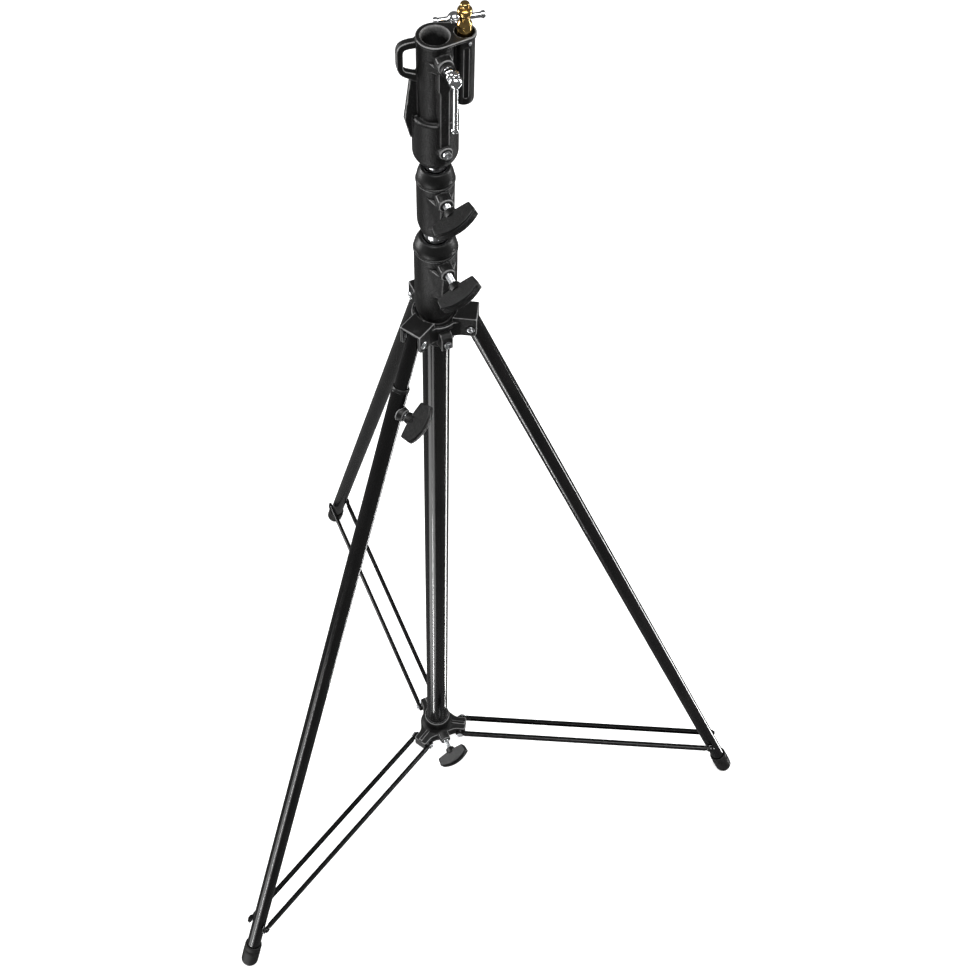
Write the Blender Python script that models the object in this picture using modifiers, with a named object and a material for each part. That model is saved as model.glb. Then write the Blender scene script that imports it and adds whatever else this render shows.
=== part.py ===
"""Three-section steel lighting stand with a levelling leg, a junior socket head and a sliding brace spider.

Units are metres, +Z is up, and the floor is z = 0. The column stands on the axis of the empty "stand_axis";
the origin is the middle of the footprint. The legs point to azimuths 0, 120 and 240 degrees.
"""
from math import acos, asin, atan2, cos, hypot, pi, radians, sin, sqrt

import bmesh
import bpy

# ------------------------------------------------------------------ driving dimensions
GAP = 0.0003  # between touching pieces
PIN_FIT = 0.0003  # a pivot pin in its hole
SLIDE_FIT = 0.0004  # a tube or ring sliding on a tube

COLUMN_R = 0.0175
COLUMN_WALL = 0.0016
COLUMN_CLEARANCE = 0.024  # column's lower end above the floor
RISER_2_R = 0.0150
RISER_1_R = 0.0125
RISER_WALL = 0.0015
RISER_2_RAISED = 0.231  # its lower end above the column's, when it is all the way down
RISER_1_RAISED = 0.107  # its lower end above riser 2's, when it is all the way down

LEG_R = 0.0110
LEG_WALL = 0.0015
LEG_LENGTH = 1.226  # hinge to the centre of the foot's ball
LEG_TILT = radians(22.33)
LEG_OVER_HINGE = 0.010
HINGE_RADIUS = 0.045
PIN_R = 0.0030
RIVET_HEAD_R = 0.0052
RIVET_HEAD = 0.0020
FOOT_R = 0.0137
FOOT_FLAT = 0.0007  # depth of the worn flat under the ball
FOOT_BOOT = 0.038  # boot's mouth above the ball's centre
FOOT_SOCKET = 0.014  # floor of the boot's socket above the ball's centre

BRACE_ON_LEG = 0.088  # brace pivot above the ball's centre, along the leg
SPIDER_PIVOT_RADIUS = 0.0424
SPIDER_PIVOT_Z = 0.0504
BRACE_HEIGHT = 0.0100
BRACE_THICK = 0.0060
BRACE_SPACING = 0.0310  # between the middles of a leg's two bars
BRACE_OVERHANG = 0.0080

LEVELLING_INNER_R = 0.0092
LEVELLING_INNER_LENGTH = 0.360
LEVELLING_MOUTH = 0.076  # outer tube's mouth below the hinge
LEVELLING_CLAMP = 0.107  # clamp screw below the hinge
LEVELLING_CAP = 0.0055

HUB_R = 0.0245
HUB_RISE = 0.0105  # hub's ring above the hinge
HUB_DROP = 0.0280  # hub's ring below the hinge
ARM_WIDTH = 0.0300
ARM_SLOT = 0.0230
ARM_RISE = 0.0190
ARM_ROOF = 0.0035
ARM_DROP = 0.0120
ARM_REACH = 0.0520

LOWER_COLLAR_R = 0.0261
LOWER_COLLAR_HEIGHT = 0.135
UPPER_COLLAR_R = 0.0221
UPPER_COLLAR_HEIGHT = 0.098
COLLAR_TAPER = 0.014
COLLAR_BEVEL = 0.012
COLLAR_LIP = 0.009  # collar's solid lip over its liner
KNOB_BELOW_TOP = 0.031
COLUMN_BELOW_KNOB = 0.024  # column's top below the lower collar's screw
RISER_BELOW_KNOB = 0.018  # riser 2's top below the upper collar's screw
KNOB_AZIMUTH = radians(-60)
UPPER_KNOB_AZIMUTH = radians(-62)
RISER_SHOWING = 0.013  # riser left bare between the collars

SCREW_R = 0.0040
PAD_THICK = 0.0030
BOSS_R = 0.0090
BOSS_PROUD = 0.0130
KNOB_LENGTH = 0.0530
KNOB_WIDTH = 0.0130
KNOB_DEPTH = 0.0140  # at its ends, along the screw
KNOB_CROWN = 0.0080  # how far its outer face bulges
KNOB_HUB_R = 0.0080
KNOB_HUB = 0.0070
KNOB_TURN = radians(29)
LOWER_KNOB_STANDOFF = 0.023  # boss to the knob's inner face
UPPER_KNOB_STANDOFF = 0.016
LEVELLING_KNOB_STANDOFF = 0.0095
LEVELLING_KNOB_TURN = radians(54)

SPIDER_R = 0.0215
SPIDER_HEIGHT = 0.060
SPIDER_KNOB_RISE = 0.030  # knob's screw above the spider's lower end
SPIDER_WEB_R = 0.0300
SPIDER_WEB = 0.0180
EAR_HEIGHT = 0.0210
EAR_OVERHANG = 0.0085

HEAD_HEIGHT = 0.172
HEAD_GAP = 0.010  # riser left bare under the head
HEAD_TURN = radians(20)  # stud side of the head
HEAD_SKIRT_R = 0.0258
HEAD_SKIRT = 0.070
HEAD_TAPER = 0.013
HEAD_RIM_R = 0.0160
SOCKET_R = 0.0143
SOCKET_WALL = 0.0063
SOCKET_DEPTH = 0.090
SOCKET_CHAMFER = 0.0015
TOP_PLATE = 0.0035
SLEEVE_OFFSET = 0.0310
SLEEVE_R = 0.0113
SLEEVE_FLANGE_R = 0.0129
SLEEVE_LENGTH = 0.092
STUD_R = 0.0080
STUD_RISE = 0.036  # stud's tip above the head's top
STUD_LENGTH = 0.122
SLOT_WIDTH = 0.0054
SLOT_TOP = 0.013
SLOT_BOTTOM = 0.081
LOOP_THICK = 0.0070
LOCK_SCREW_R = 0.0045
LOCK_BALL_R = 0.0075
TOMMY_R = 0.0032
TOMMY_CAP_R = 0.0043
TOMMY_CAP = 0.0040
SOCKET_LOCK_AZIMUTH = radians(-80)  # seen from the stud side
SOCKET_LOCK_REACH = 0.053
SOCKET_LOCK_DROP = 0.019
SOCKET_BAR_LENGTH = 0.080
STUD_LOCK_REACH = 0.046
STUD_LOCK_DROP = 0.021
STUD_BAR_LENGTH = 0.056
STUD_BAR_SHIFT = 0.0056

ROUND = 26  # sides of the big round pieces
LEG_SIDES = 20  # sides of the legs and feet
SLEEVE_SIDES = 22  # sides of the stud and its sleeve
SMALL = 12  # sides of pins, screws and knob hubs

# ------------------------------------------------------------------ derived places
FOOT_Z = FOOT_R - FOOT_FLAT
HINGE_Z = FOOT_Z + LEG_LENGTH * cos(LEG_TILT)
FOOT_RADIUS = HINGE_RADIUS + LEG_LENGTH * sin(LEG_TILT)
AXIS_X = -FOOT_RADIUS / 4  # centres the three feet's bounding box on the origin
LEG_AZIMUTHS = {"right": 0.0, "back": radians(120), "levelling": radians(240)}

PIVOT_RADIUS = HINGE_RADIUS + (LEG_LENGTH - BRACE_ON_LEG) * sin(LEG_TILT)
PIVOT_Z = HINGE_Z - (LEG_LENGTH - BRACE_ON_LEG) * cos(LEG_TILT)
BRACE_LENGTH = hypot(PIVOT_RADIUS - SPIDER_PIVOT_RADIUS, PIVOT_Z - SPIDER_PIVOT_Z)
BRACE_RISE = atan2(PIVOT_Z - SPIDER_PIVOT_Z, PIVOT_RADIUS - SPIDER_PIVOT_RADIUS)
BRACE_OUTSIDE = BRACE_SPACING / 2 + BRACE_THICK / 2
EAR_WIDTH = BRACE_SPACING - BRACE_THICK - 2 * GAP

HUB_TOP = HINGE_Z + HUB_RISE
LOWER_COLLAR_Z = HUB_TOP + 0.0005
LOWER_COLLAR_TOP = LOWER_COLLAR_Z + LOWER_COLLAR_HEIGHT
COLUMN_TOP = LOWER_COLLAR_TOP - KNOB_BELOW_TOP - COLUMN_BELOW_KNOB
UPPER_COLLAR_Z = LOWER_COLLAR_TOP + RISER_SHOWING
UPPER_COLLAR_TOP = UPPER_COLLAR_Z + UPPER_COLLAR_HEIGHT
RISER_2_TOP = UPPER_COLLAR_TOP - KNOB_BELOW_TOP - RISER_BELOW_KNOB
HEAD_Z = UPPER_COLLAR_TOP + HEAD_GAP
HEAD_TOP = HEAD_Z + HEAD_HEIGHT
RISER_1_TOP = HEAD_TOP - SOCKET_DEPTH - 0.014
RISER_2_BOTTOM = COLUMN_CLEARANCE + RISER_2_RAISED
RISER_1_BOTTOM = RISER_2_BOTTOM + RISER_1_RAISED
SPIDER_Z = COLUMN_CLEARANCE + 0.0010


# ------------------------------------------------------------------ scene, frames and materials
for old in list(bpy.data.objects):
    bpy.data.objects.remove(old, do_unlink=True)

PARTS = bpy.data.collections.new("lighting_stand")
CUTTERS = bpy.data.collections.new("cutters")
for collection in (PARTS, CUTTERS):
    bpy.context.scene.collection.children.link(collection)

FINISHES = {
    "black_casting": ((0.012, 0.012, 0.013), 0.50, 0.0),
    "gloss_black": ((0.008, 0.008, 0.009), 0.16, 0.0),
    "chrome": ((0.80, 0.80, 0.81), 0.10, 1.0),
    "zinc": ((0.66, 0.66, 0.65), 0.28, 1.0),
    "brass": ((0.78, 0.52, 0.18), 0.20, 1.0),
    "black_plastic": ((0.015, 0.015, 0.016), 0.42, 0.0),
    "nylon": ((0.60, 0.60, 0.57), 0.50, 0.0),
    "rubber": ((0.010, 0.010, 0.010), 0.72, 0.0),
}


def frame(name, parent=None, location=(0, 0, 0), rotation=(0, 0, 0)):
    """An empty that carries the pieces built in its axes."""
    empty = bpy.data.objects.new(name, None)
    empty.empty_display_size = 0.02
    empty.parent = parent
    empty.location = location
    empty.rotation_euler = rotation
    PARTS.objects.link(empty)
    return empty


def paint(obj, finish):
    """Give a piece its own copy of a finish."""
    colour, roughness, metallic = FINISHES[finish]
    material = bpy.data.materials.new(obj.name)
    material.use_nodes = True
    shader = material.node_tree.nodes["Principled BSDF"]
    shader.inputs["Base Color"].default_value = (*colour, 1.0)
    shader.inputs["Roughness"].default_value = roughness
    shader.inputs["Metallic"].default_value = metallic
    material.diffuse_color = (*colour, 1.0)
    obj.data.materials.clear()
    obj.data.materials.append(material)


def place(obj, parent, location=(0, 0, 0), rotation=(0, 0, 0), finish=None):
    """Put a piece in its frame; without a finish it becomes a hidden tool for cutting or joining."""
    obj.parent = parent
    obj.location = location
    obj.rotation_euler = rotation
    if finish is None:
        CUTTERS.objects.link(obj)
        obj.hide_render = True
        obj.display_type = "WIRE"
    else:
        PARTS.objects.link(obj)
        paint(obj, finish)
        obj.data.shade_smooth()
        obj.data.set_sharp_from_angle(angle=radians(35))
    return obj


# ------------------------------------------------------------------ shapes
def box(name, size, parent, location=(0, 0, 0), rotation=(0, 0, 0), finish=None):
    """A box with its middle on its location."""
    mesh = bpy.data.meshes.new(name)
    bm = bmesh.new()
    bmesh.ops.create_cube(bm, size=1.0)
    bmesh.ops.scale(bm, vec=size, verts=bm.verts)
    bm.to_mesh(mesh)
    bm.free()
    return place(bpy.data.objects.new(name, mesh), parent, location, rotation, finish)


def turned(name, profile, parent, location=(0, 0, 0), rotation=(0, 0, 0), finish=None, steps=ROUND, ring=False):
    """A solid of revolution about local Z. The profile is (radius, height) down the outer side; a ring's closes."""
    mesh = bpy.data.meshes.new(name)
    edges = [(i, i + 1) for i in range(len(profile) - 1)]
    if ring:
        edges.append((len(profile) - 1, 0))
    mesh.from_pydata([(radius, 0.0, height) for radius, height in profile], edges, [])
    obj = place(bpy.data.objects.new(name, mesh), parent, location, rotation, finish)
    screw = obj.modifiers.new("turn", "SCREW")
    screw.steps = screw.render_steps = steps
    screw.use_merge_vertices = True
    screw.merge_threshold = 0.00001
    screw.use_smooth_shade = finish is not None
    return obj


def rod(name, radius, start, end, parent, location=(0, 0, 0), rotation=(0, 0, 0), finish=None, steps=SMALL):
    """A plain round bar along local Z."""
    profile = [(0, end), (radius, end), (radius, start), (0, start)]
    return turned(name, profile, parent, location, rotation, finish, steps)


def tube(name, radius, wall, start, end, parent, finish, steps=ROUND):
    """A hollow round tube along local Z."""
    inner = radius - wall
    profile = [(radius, end), (radius, start), (inner, start), (inner, end)]
    return turned(name, profile, parent, finish=finish, steps=steps, ring=True)


def plate(name, outline, thickness, parent, location=(0, 0, 0), rotation=(0, 0, 0), finish=None, round_edge=0.0):
    """A flat outline in local XY, thick along Z, with its edges rounded if asked."""
    curve = bpy.data.curves.new(name, "CURVE")
    curve.dimensions = "2D"
    curve.fill_mode = "BOTH"
    curve.extrude = thickness / 2
    spline = curve.splines.new("POLY")
    spline.points.add(len(outline) - 1)
    for point, (x, y) in zip(spline.points, outline):
        point.co = (x, y, 0.0, 1.0)
    spline.use_cyclic_u = True
    flat = bpy.data.objects.new(name, curve)
    bpy.context.scene.collection.objects.link(flat)
    graph = bpy.context.evaluated_depsgraph_get()
    mesh = bpy.data.meshes.new_from_object(flat.evaluated_get(graph))
    bpy.data.objects.remove(flat, do_unlink=True)
    bm = bmesh.new()
    bm.from_mesh(mesh)
    bmesh.ops.remove_doubles(bm, verts=bm.verts, dist=0.00001)
    bmesh.ops.dissolve_limit(bm, angle_limit=radians(0.5), verts=bm.verts, edges=bm.edges)
    bmesh.ops.recalc_face_normals(bm, faces=bm.faces)
    bm.to_mesh(mesh)
    bm.free()
    mesh.name = name
    obj = place(bpy.data.objects.new(name, mesh), parent, location, rotation, finish)
    if round_edge:
        bevel = obj.modifiers.new("round", "BEVEL")
        bevel.width = round_edge
        bevel.segments = 1
        bevel.angle_limit = radians(40)
    return obj


def arc(centre, radius, start, end, count):
    """Points on a circular arc, ends included; angles in degrees."""
    x, y = centre
    angles = [radians(start + (end - start) * i / (count - 1)) for i in range(count)]
    return [(x + radius * cos(a), y + radius * sin(a)) for a in angles]


def combine(obj, operation, *tools):
    """Join tools to a piece, or cut them from it."""
    for tool in tools:
        step = obj.modifiers.new(tool.name, "BOOLEAN")
        step.operation = operation
        step.object = tool
        step.solver = "EXACT"
        obj.modifiers.new("facets", "TRIANGULATE")


TO_X = (0, pi / 2, 0)  # turns a piece's Z to its frame's +X
TO_Y = (-pi / 2, 0, 0)  # turns a piece's Z to its frame's +Y
UPRIGHT = (pi / 2, 0, 0)  # turns a flat outline's (x, y) to its frame's (X, Z)


def rivet(name, grip, parent, finish="zinc"):
    """A headed pivot pin through a stack of the given grip, along the frame's Y."""
    top = grip / 2 + GAP
    profile = [
        (0, top + RIVET_HEAD),
        (RIVET_HEAD_R * 0.7, top + RIVET_HEAD),
        (RIVET_HEAD_R, top + RIVET_HEAD * 0.4),
        (RIVET_HEAD_R, top),
        (PIN_R, top),
    ]
    profile += [(radius, -height) for radius, height in reversed(profile)]
    return turned(name, profile, parent, rotation=TO_Y, finish=finish, steps=SMALL)


def clamp_boss(name, parent, body_radius, reach):
    """The raised screw boss of a clamp collar: a block with sloping sides and a round nose, along +X."""
    root = body_radius * 0.88
    tip = BOSS_R * 0.8
    outline = [(body_radius * 0.4, -root), (reach - 0.004, -tip), (reach - 0.004, tip), (body_radius * 0.4, root)]
    block = plate(f"{name}_block", outline, BOSS_R * 1.6, parent)
    nose = rod(f"{name}_nose", BOSS_R, body_radius * 0.5, reach, parent, rotation=TO_X)
    return block, nose


def clamp_knob(name, parent, tube_radius, boss_reach, standoff):
    """The brass pad, screw and T-shaped knob of one clamp, along the frame's +X."""
    tip = tube_radius + GAP + PAD_THICK + GAP
    face = boss_reach + standoff
    hub_start = face - KNOB_HUB
    screw_end = face + 0.004
    rod(f"{name}_pad", SCREW_R - GAP, tube_radius + GAP, tip - GAP, parent, rotation=TO_X, finish="brass")
    rod(f"{name}_screw", SCREW_R, tip, screw_end, parent, rotation=TO_X, finish="zinc")
    half = KNOB_LENGTH / 2
    edge = face + KNOB_DEPTH
    radius = (half**2 + KNOB_CROWN**2) / (2 * KNOB_CROWN)
    spread = asin(half / radius)
    centre_x = edge + KNOB_CROWN - radius
    crown = [
        (centre_x + radius * cos(a), radius * sin(a)) for a in (spread * (i / 4 - 1) for i in range(9))
    ]
    outline = [(face, -half * 0.97), *crown, (face, half * 0.97)]
    knob = plate(f"{name}_knob", outline, KNOB_WIDTH, parent, rotation=(KNOB_TURN, 0, 0), finish="black_plastic",
                 round_edge=0.0015)
    hub = rod(f"{name}_knob_hub", KNOB_HUB_R, hub_start, face + 0.003, parent, rotation=TO_X)
    hole = rod(f"{name}_knob_hole", SCREW_R + GAP, hub_start - 0.001, screw_end + GAP, parent, rotation=TO_X)
    combine(knob, "UNION", hub)
    combine(knob, "DIFFERENCE", hole)


def boss_hole(name, parent, start, reach):
    """The clamp screw's hole through one wall, along +X."""
    return rod(f"{name}_hole", SCREW_R + GAP, start, reach + 0.002, parent, rotation=TO_X)


# ------------------------------------------------------------------ column and its collars
STAND = frame("stand_axis", location=(AXIS_X, 0, 0))

tube("column_tube", COLUMN_R, COLUMN_WALL, COLUMN_CLEARANCE + GAP, COLUMN_TOP, STAND, "gloss_black")

plug_r = COLUMN_R - COLUMN_WALL - GAP
turned(
    "column_end_plug",
    [
        (0, COLUMN_CLEARANCE + 0.020),
        (plug_r, COLUMN_CLEARANCE + 0.018),
        (plug_r, COLUMN_CLEARANCE),
        (COLUMN_R + 0.002, COLUMN_CLEARANCE),
        (COLUMN_R + 0.002, COLUMN_CLEARANCE - 0.003),
        (0, COLUMN_CLEARANCE - 0.003),
    ],
    STAND,
    finish="black_plastic",
    steps=ROUND,
)


def clamp_collar(name, bottom, height, radius, lower_r, upper_r, tube_top, azimuth, standoff):
    """A cast collar fixed on one tube that guides and clamps the next one, with its liner and its knob."""
    top = bottom + height
    parent = STAND
    knob_frame = frame(f"{name}_knob_axis", parent, (0, 0, top - KNOB_BELOW_TOP), (0, 0, azimuth))
    reach = radius + BOSS_PROUD
    groove = top - COLLAR_BEVEL - 0.008
    collar = turned(
        f"{name}_collar",
        [
            (0, top),
            (upper_r + 0.0025, top),
            (radius - 0.001, top - COLLAR_BEVEL),
            (radius, top - COLLAR_BEVEL - 0.002),
            (radius, groove),
            (radius - 0.0006, groove - 0.0006),
            (radius - 0.0004, bottom + COLLAR_TAPER),
            (lower_r + 0.0028, bottom),
            (0, bottom),
        ],
        parent,
        finish="black_casting",
    )
    rib_drop = height - KNOB_BELOW_TOP - COLLAR_TAPER - 0.006
    rib = plate(
        f"{name}_rib",
        [
            (radius * 0.6, 0.003),
            (reach - 0.006, 0.003),
            (radius + 0.0045, -0.018),
            (radius + 0.0030, -rib_drop),
            (radius * 0.6, -rib_drop - 0.005),
        ],
        BOSS_R * 1.5,
        knob_frame,
        rotation=UPRIGHT,
    )
    combine(collar, "UNION", rib, *clamp_boss(name, knob_frame, radius, reach))
    pocket = lower_r + GAP
    bore = turned(
        f"{name}_bore",
        [
            (0, top + 0.001),
            (upper_r + SLIDE_FIT + GAP, top + 0.001),
            (upper_r + SLIDE_FIT + GAP, top - COLLAR_LIP),
            (pocket, top - COLLAR_LIP),
            (pocket, bottom - 0.001),
            (0, bottom - 0.001),
        ],
        parent,
    )
    combine(collar, "DIFFERENCE", bore, boss_hole(name, knob_frame, upper_r * 0.5, reach))
    liner_bottom = tube_top + GAP
    liner_top = top - COLLAR_LIP - GAP
    liner = turned(
        f"{name}_collar_liner",
        [
            (lower_r, liner_top),
            (lower_r, liner_bottom),
            (upper_r + SLIDE_FIT, liner_bottom),
            (upper_r + SLIDE_FIT, liner_top),
        ],
        parent,
        finish="nylon",
        ring=True,
    )
    combine(liner, "DIFFERENCE", boss_hole(f"{name}_liner", knob_frame, upper_r * 0.5, reach))
    clamp_knob(name, knob_frame, upper_r, reach, standoff)


clamp_collar("lower", LOWER_COLLAR_Z, LOWER_COLLAR_HEIGHT, LOWER_COLLAR_R, COLUMN_R, RISER_2_R,
             COLUMN_TOP, KNOB_AZIMUTH, LOWER_KNOB_STANDOFF)
clamp_collar("upper", UPPER_COLLAR_Z, UPPER_COLLAR_HEIGHT, UPPER_COLLAR_R, RISER_2_R, RISER_1_R,
             RISER_2_TOP, UPPER_KNOB_AZIMUTH, UPPER_KNOB_STANDOFF)


# ------------------------------------------------------------------ risers and their guide bushes
def riser(name, radius, outer_tube_r, outer_wall, bottom, top):
    """A chromed riser tube and the bush under its lower end that slides in the tube outside it."""
    tube(f"{name}_tube", radius, RISER_WALL, bottom, top, STAND, "chrome")
    ride = outer_tube_r - outer_wall - SLIDE_FIT
    spigot = radius - RISER_WALL - GAP
    core = spigot - 0.003
    turned(
        f"{name}_guide",
        [
            (spigot, bottom + 0.020),
            (spigot, bottom - GAP),
            (ride, bottom - GAP),
            (ride, bottom - 0.030),
            (core, bottom - 0.030),
            (core, bottom + 0.020),
        ],
        STAND,
        finish="nylon",
        ring=True,
    )


riser("riser_2", RISER_2_R, COLUMN_R, COLUMN_WALL, RISER_2_BOTTOM, RISER_2_TOP)
riser("riser_1", RISER_1_R, RISER_2_R, RISER_WALL, RISER_1_BOTTOM, RISER_1_TOP)


# ------------------------------------------------------------------ head casting
HEAD = frame("head_axis", STAND, (0, 0, 0), (0, 0, HEAD_TURN))
SLEEVE = frame("sleeve_axis", HEAD, (SLEEVE_OFFSET, 0, HEAD_TOP))
SOCKET_OUTER_R = SOCKET_R + SOCKET_WALL
SOCKET_LOCK = frame("socket_lock_axis", HEAD, (0, 0, HEAD_TOP - SOCKET_LOCK_DROP), (0, 0, SOCKET_LOCK_AZIMUTH))
STUD_LOCK = frame("stud_lock_axis", SLEEVE, (0, 0, -STUD_LOCK_DROP), (0, 0, pi / 2))
HEAD_BOLT = frame("head_bolt_axis", HEAD, (0, 0, HEAD_Z + 0.034), (0, 0, SOCKET_LOCK_AZIMUTH))
BOLT_REACH = HEAD_SKIRT_R + 0.0055

head = turned(
    "head_casting",
    [
        (0, HEAD_TOP - 0.001),
        (SOCKET_OUTER_R - 0.0005, HEAD_TOP - 0.001),
        (SOCKET_OUTER_R - 0.0005, HEAD_Z + HEAD_SKIRT + 0.003),
        (HEAD_SKIRT_R, HEAD_Z + HEAD_SKIRT),
        (HEAD_SKIRT_R, HEAD_Z + HEAD_TAPER),
        (HEAD_SKIRT_R - 0.004, HEAD_Z + HEAD_TAPER * 0.4),
        (HEAD_RIM_R, HEAD_Z),
        (0, HEAD_Z),
    ],
    HEAD,
    finish="black_casting",
)
tangent = acos((SOCKET_OUTER_R - SLEEVE_FLANGE_R) / SLEEVE_OFFSET) * 180 / pi
top_plate = plate(
    "head_top_plate",
    arc((0, 0), SOCKET_OUTER_R, tangent, 360 - tangent, 17)
    + arc((SLEEVE_OFFSET, 0), SLEEVE_FLANGE_R, -tangent, tangent, 11),
    TOP_PLATE,
    HEAD,
    (0, 0, HEAD_TOP - TOP_PLATE / 2),
)
sleeve = turned(
    "stud_sleeve",
    [
        (0, -TOP_PLATE / 2),
        (SLEEVE_R, -TOP_PLATE / 2),
        (SLEEVE_R, -SLEEVE_LENGTH + 0.004),
        (SLEEVE_R - 0.004, -SLEEVE_LENGTH),
        (0, -SLEEVE_LENGTH),
    ],
    SLEEVE,
    steps=SLEEVE_SIDES,
)
bridge = box("sleeve_bridge", (SLEEVE_OFFSET, 0.012, SLEEVE_LENGTH - 0.010), HEAD,
             (SLEEVE_OFFSET / 2, 0, HEAD_TOP - (SLEEVE_LENGTH - 0.010) / 2 - TOP_PLATE / 2))
loop_outline = [
    (-0.012, HEAD_HEIGHT - 0.0005),
    (-0.038, HEAD_HEIGHT - 0.0030),
    (-0.0415, HEAD_HEIGHT - 0.0070),
    (-0.0415, HEAD_HEIGHT - 0.0380),
    (-0.0380, HEAD_HEIGHT - 0.0440),
    (-0.0250, HEAD_HEIGHT - 0.0550),
    (-0.0345, HEAD_HEIGHT - 0.1060),
    (-0.0285, HEAD_HEIGHT - 0.1320),
    (-0.0120, HEAD_HEIGHT - 0.1350),
]
loop = plate("cable_loop", loop_outline, LOOP_THICK, HEAD, (0, 0, HEAD_Z), UPRIGHT)
window = (
    arc((-0.0305, HEAD_HEIGHT - 0.0160), 0.003, 180, 90, 4)
    + arc((-0.0275, HEAD_HEIGHT - 0.0160), 0.003, 90, 0, 4)
    + arc((-0.0275, HEAD_HEIGHT - 0.0350), 0.003, 0, -90, 4)
    + arc((-0.0305, HEAD_HEIGHT - 0.0350), 0.003, -90, -180, 4)
)
loop_window = plate("cable_loop_window", window, LOOP_THICK * 3, HEAD, (0, 0, HEAD_Z), UPRIGHT)
rib_height = HEAD_HEIGHT - SOCKET_LOCK_DROP - 0.034 + 0.004
front_rib = box("head_rib", (HEAD_SKIRT_R, 0.0105, rib_height), HEAD_BOLT,
                (HEAD_SKIRT_R * 0.5 + 0.003, 0, rib_height / 2 - 0.002))
lock_block, lock_nose = clamp_boss("socket_lock", SOCKET_LOCK, SOCKET_OUTER_R, SOCKET_OUTER_R + 0.0130)
bolt_nose = rod("head_bolt_nose", 0.0080, HEAD_SKIRT_R * 0.7, BOLT_REACH, HEAD_BOLT, rotation=TO_X)
stud_nose = rod("stud_lock_nose", 0.0072, STUD_R, SLEEVE_R + 0.0070, STUD_LOCK, rotation=TO_X)
combine(head, "UNION", top_plate, sleeve, bridge, loop, front_rib, lock_block, lock_nose, bolt_nose, stud_nose)

mouth_r = SOCKET_R + SOCKET_CHAMFER
socket_bore = turned(
    "socket_bore",
    [
        (0, 0.001),
        (mouth_r + 0.001, 0.001),
        (SOCKET_R, -SOCKET_CHAMFER),
        (SOCKET_R, -SOCKET_DEPTH),
        (0, -SOCKET_DEPTH),
    ],
    HEAD,
    (0, 0, HEAD_TOP),
)
riser_bore = rod("head_riser_bore", RISER_1_R + GAP, HEAD_Z - 0.001, RISER_1_TOP + GAP, HEAD, steps=ROUND)
stud_bore_bottom = SLEEVE_LENGTH - 0.004
sleeve_bore = turned(
    "stud_bore",
    [
        (0, 0.001),
        (SLEEVE_FLANGE_R - 0.0012, 0.001),
        (STUD_R + GAP, -0.005),
        (STUD_R + GAP, -stud_bore_bottom),
        (0, -stud_bore_bottom),
    ],
    SLEEVE,
    steps=SLEEVE_SIDES,
)
slot_length = SLOT_BOTTOM - SLOT_TOP
slot = box("stud_slot", (SLOT_WIDTH, SLEEVE_R, slot_length), SLEEVE,
           (0, -SLEEVE_R / 2 - STUD_R / 2, -(SLOT_TOP + SLOT_BOTTOM) / 2))
socket_lock_hole = rod("socket_lock_hole", LOCK_SCREW_R + GAP, SOCKET_R * 0.5, SOCKET_OUTER_R + 0.015, SOCKET_LOCK,
                       rotation=TO_X)
stud_lock_hole = rod("stud_lock_hole", LOCK_SCREW_R + GAP, STUD_R * 0.5, SLEEVE_R + 0.009, STUD_LOCK, rotation=TO_X)
bolt_r = SCREW_R - 0.001
bolt_hole = rod("head_bolt_hole", bolt_r + GAP, RISER_1_R * 0.5, BOLT_REACH + 0.002, HEAD_BOLT, rotation=TO_X)
combine(head, "DIFFERENCE", loop_window, socket_bore, riser_bore, sleeve_bore, slot, socket_lock_hole,
        stud_lock_hole, bolt_hole)


def cap_screw(name, parent, start, seat):
    """A socket-head clamp bolt along +X: the shank reaches in from under its head, with a hex recess."""
    top = seat + GAP + 0.0040
    bolt = turned(
        name,
        [(0, top), (0.0045, top), (0.0050, top - 0.0006), (0.0050, seat + GAP), (bolt_r, seat + GAP), (bolt_r, start),
         (0, start)],
        parent,
        rotation=TO_X,
        finish="zinc",
        steps=SMALL,
    )
    combine(bolt, "DIFFERENCE", rod(f"{name}_key", 0.0024, top - 0.0025, top + 0.001, parent, rotation=TO_X, steps=6))


cap_screw("head_clamp_bolt", HEAD_BOLT, RISER_1_R + GAP, BOLT_REACH)

# ------------------------------------------------------------------ stud and the two tommy-bar locks
stud_tip = STUD_RISE
turned(
    "stud",
    [
        (0, stud_tip),
        (0.0040, stud_tip),
        (0.0047, stud_tip - 0.0010),
        (0.0047, stud_tip - 0.0060),
        (STUD_R - 0.0008, stud_tip - 0.0060),
        (STUD_R, stud_tip - 0.0070),
        (STUD_R, stud_tip - 0.0130),
        (STUD_R - 0.0021, stud_tip - 0.0150),
        (STUD_R - 0.0021, stud_tip - 0.0210),
        (STUD_R, stud_tip - 0.0250),
        (STUD_R, stud_tip - STUD_LENGTH + 0.001),
        (STUD_R - 0.001, stud_tip - STUD_LENGTH),
        (0, stud_tip - STUD_LENGTH),
    ],
    SLEEVE,
    finish="brass",
    steps=SLEEVE_SIDES,
)
pin_depth = SLOT_BOTTOM - SLOT_WIDTH / 2 - GAP
rod("stud_guide_pin", SLOT_WIDTH / 2 - GAP, STUD_R + GAP, SLEEVE_R - GAP, SLEEVE, (0, 0, -pin_depth),
    (pi / 2, 0, 0), "zinc")


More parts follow.
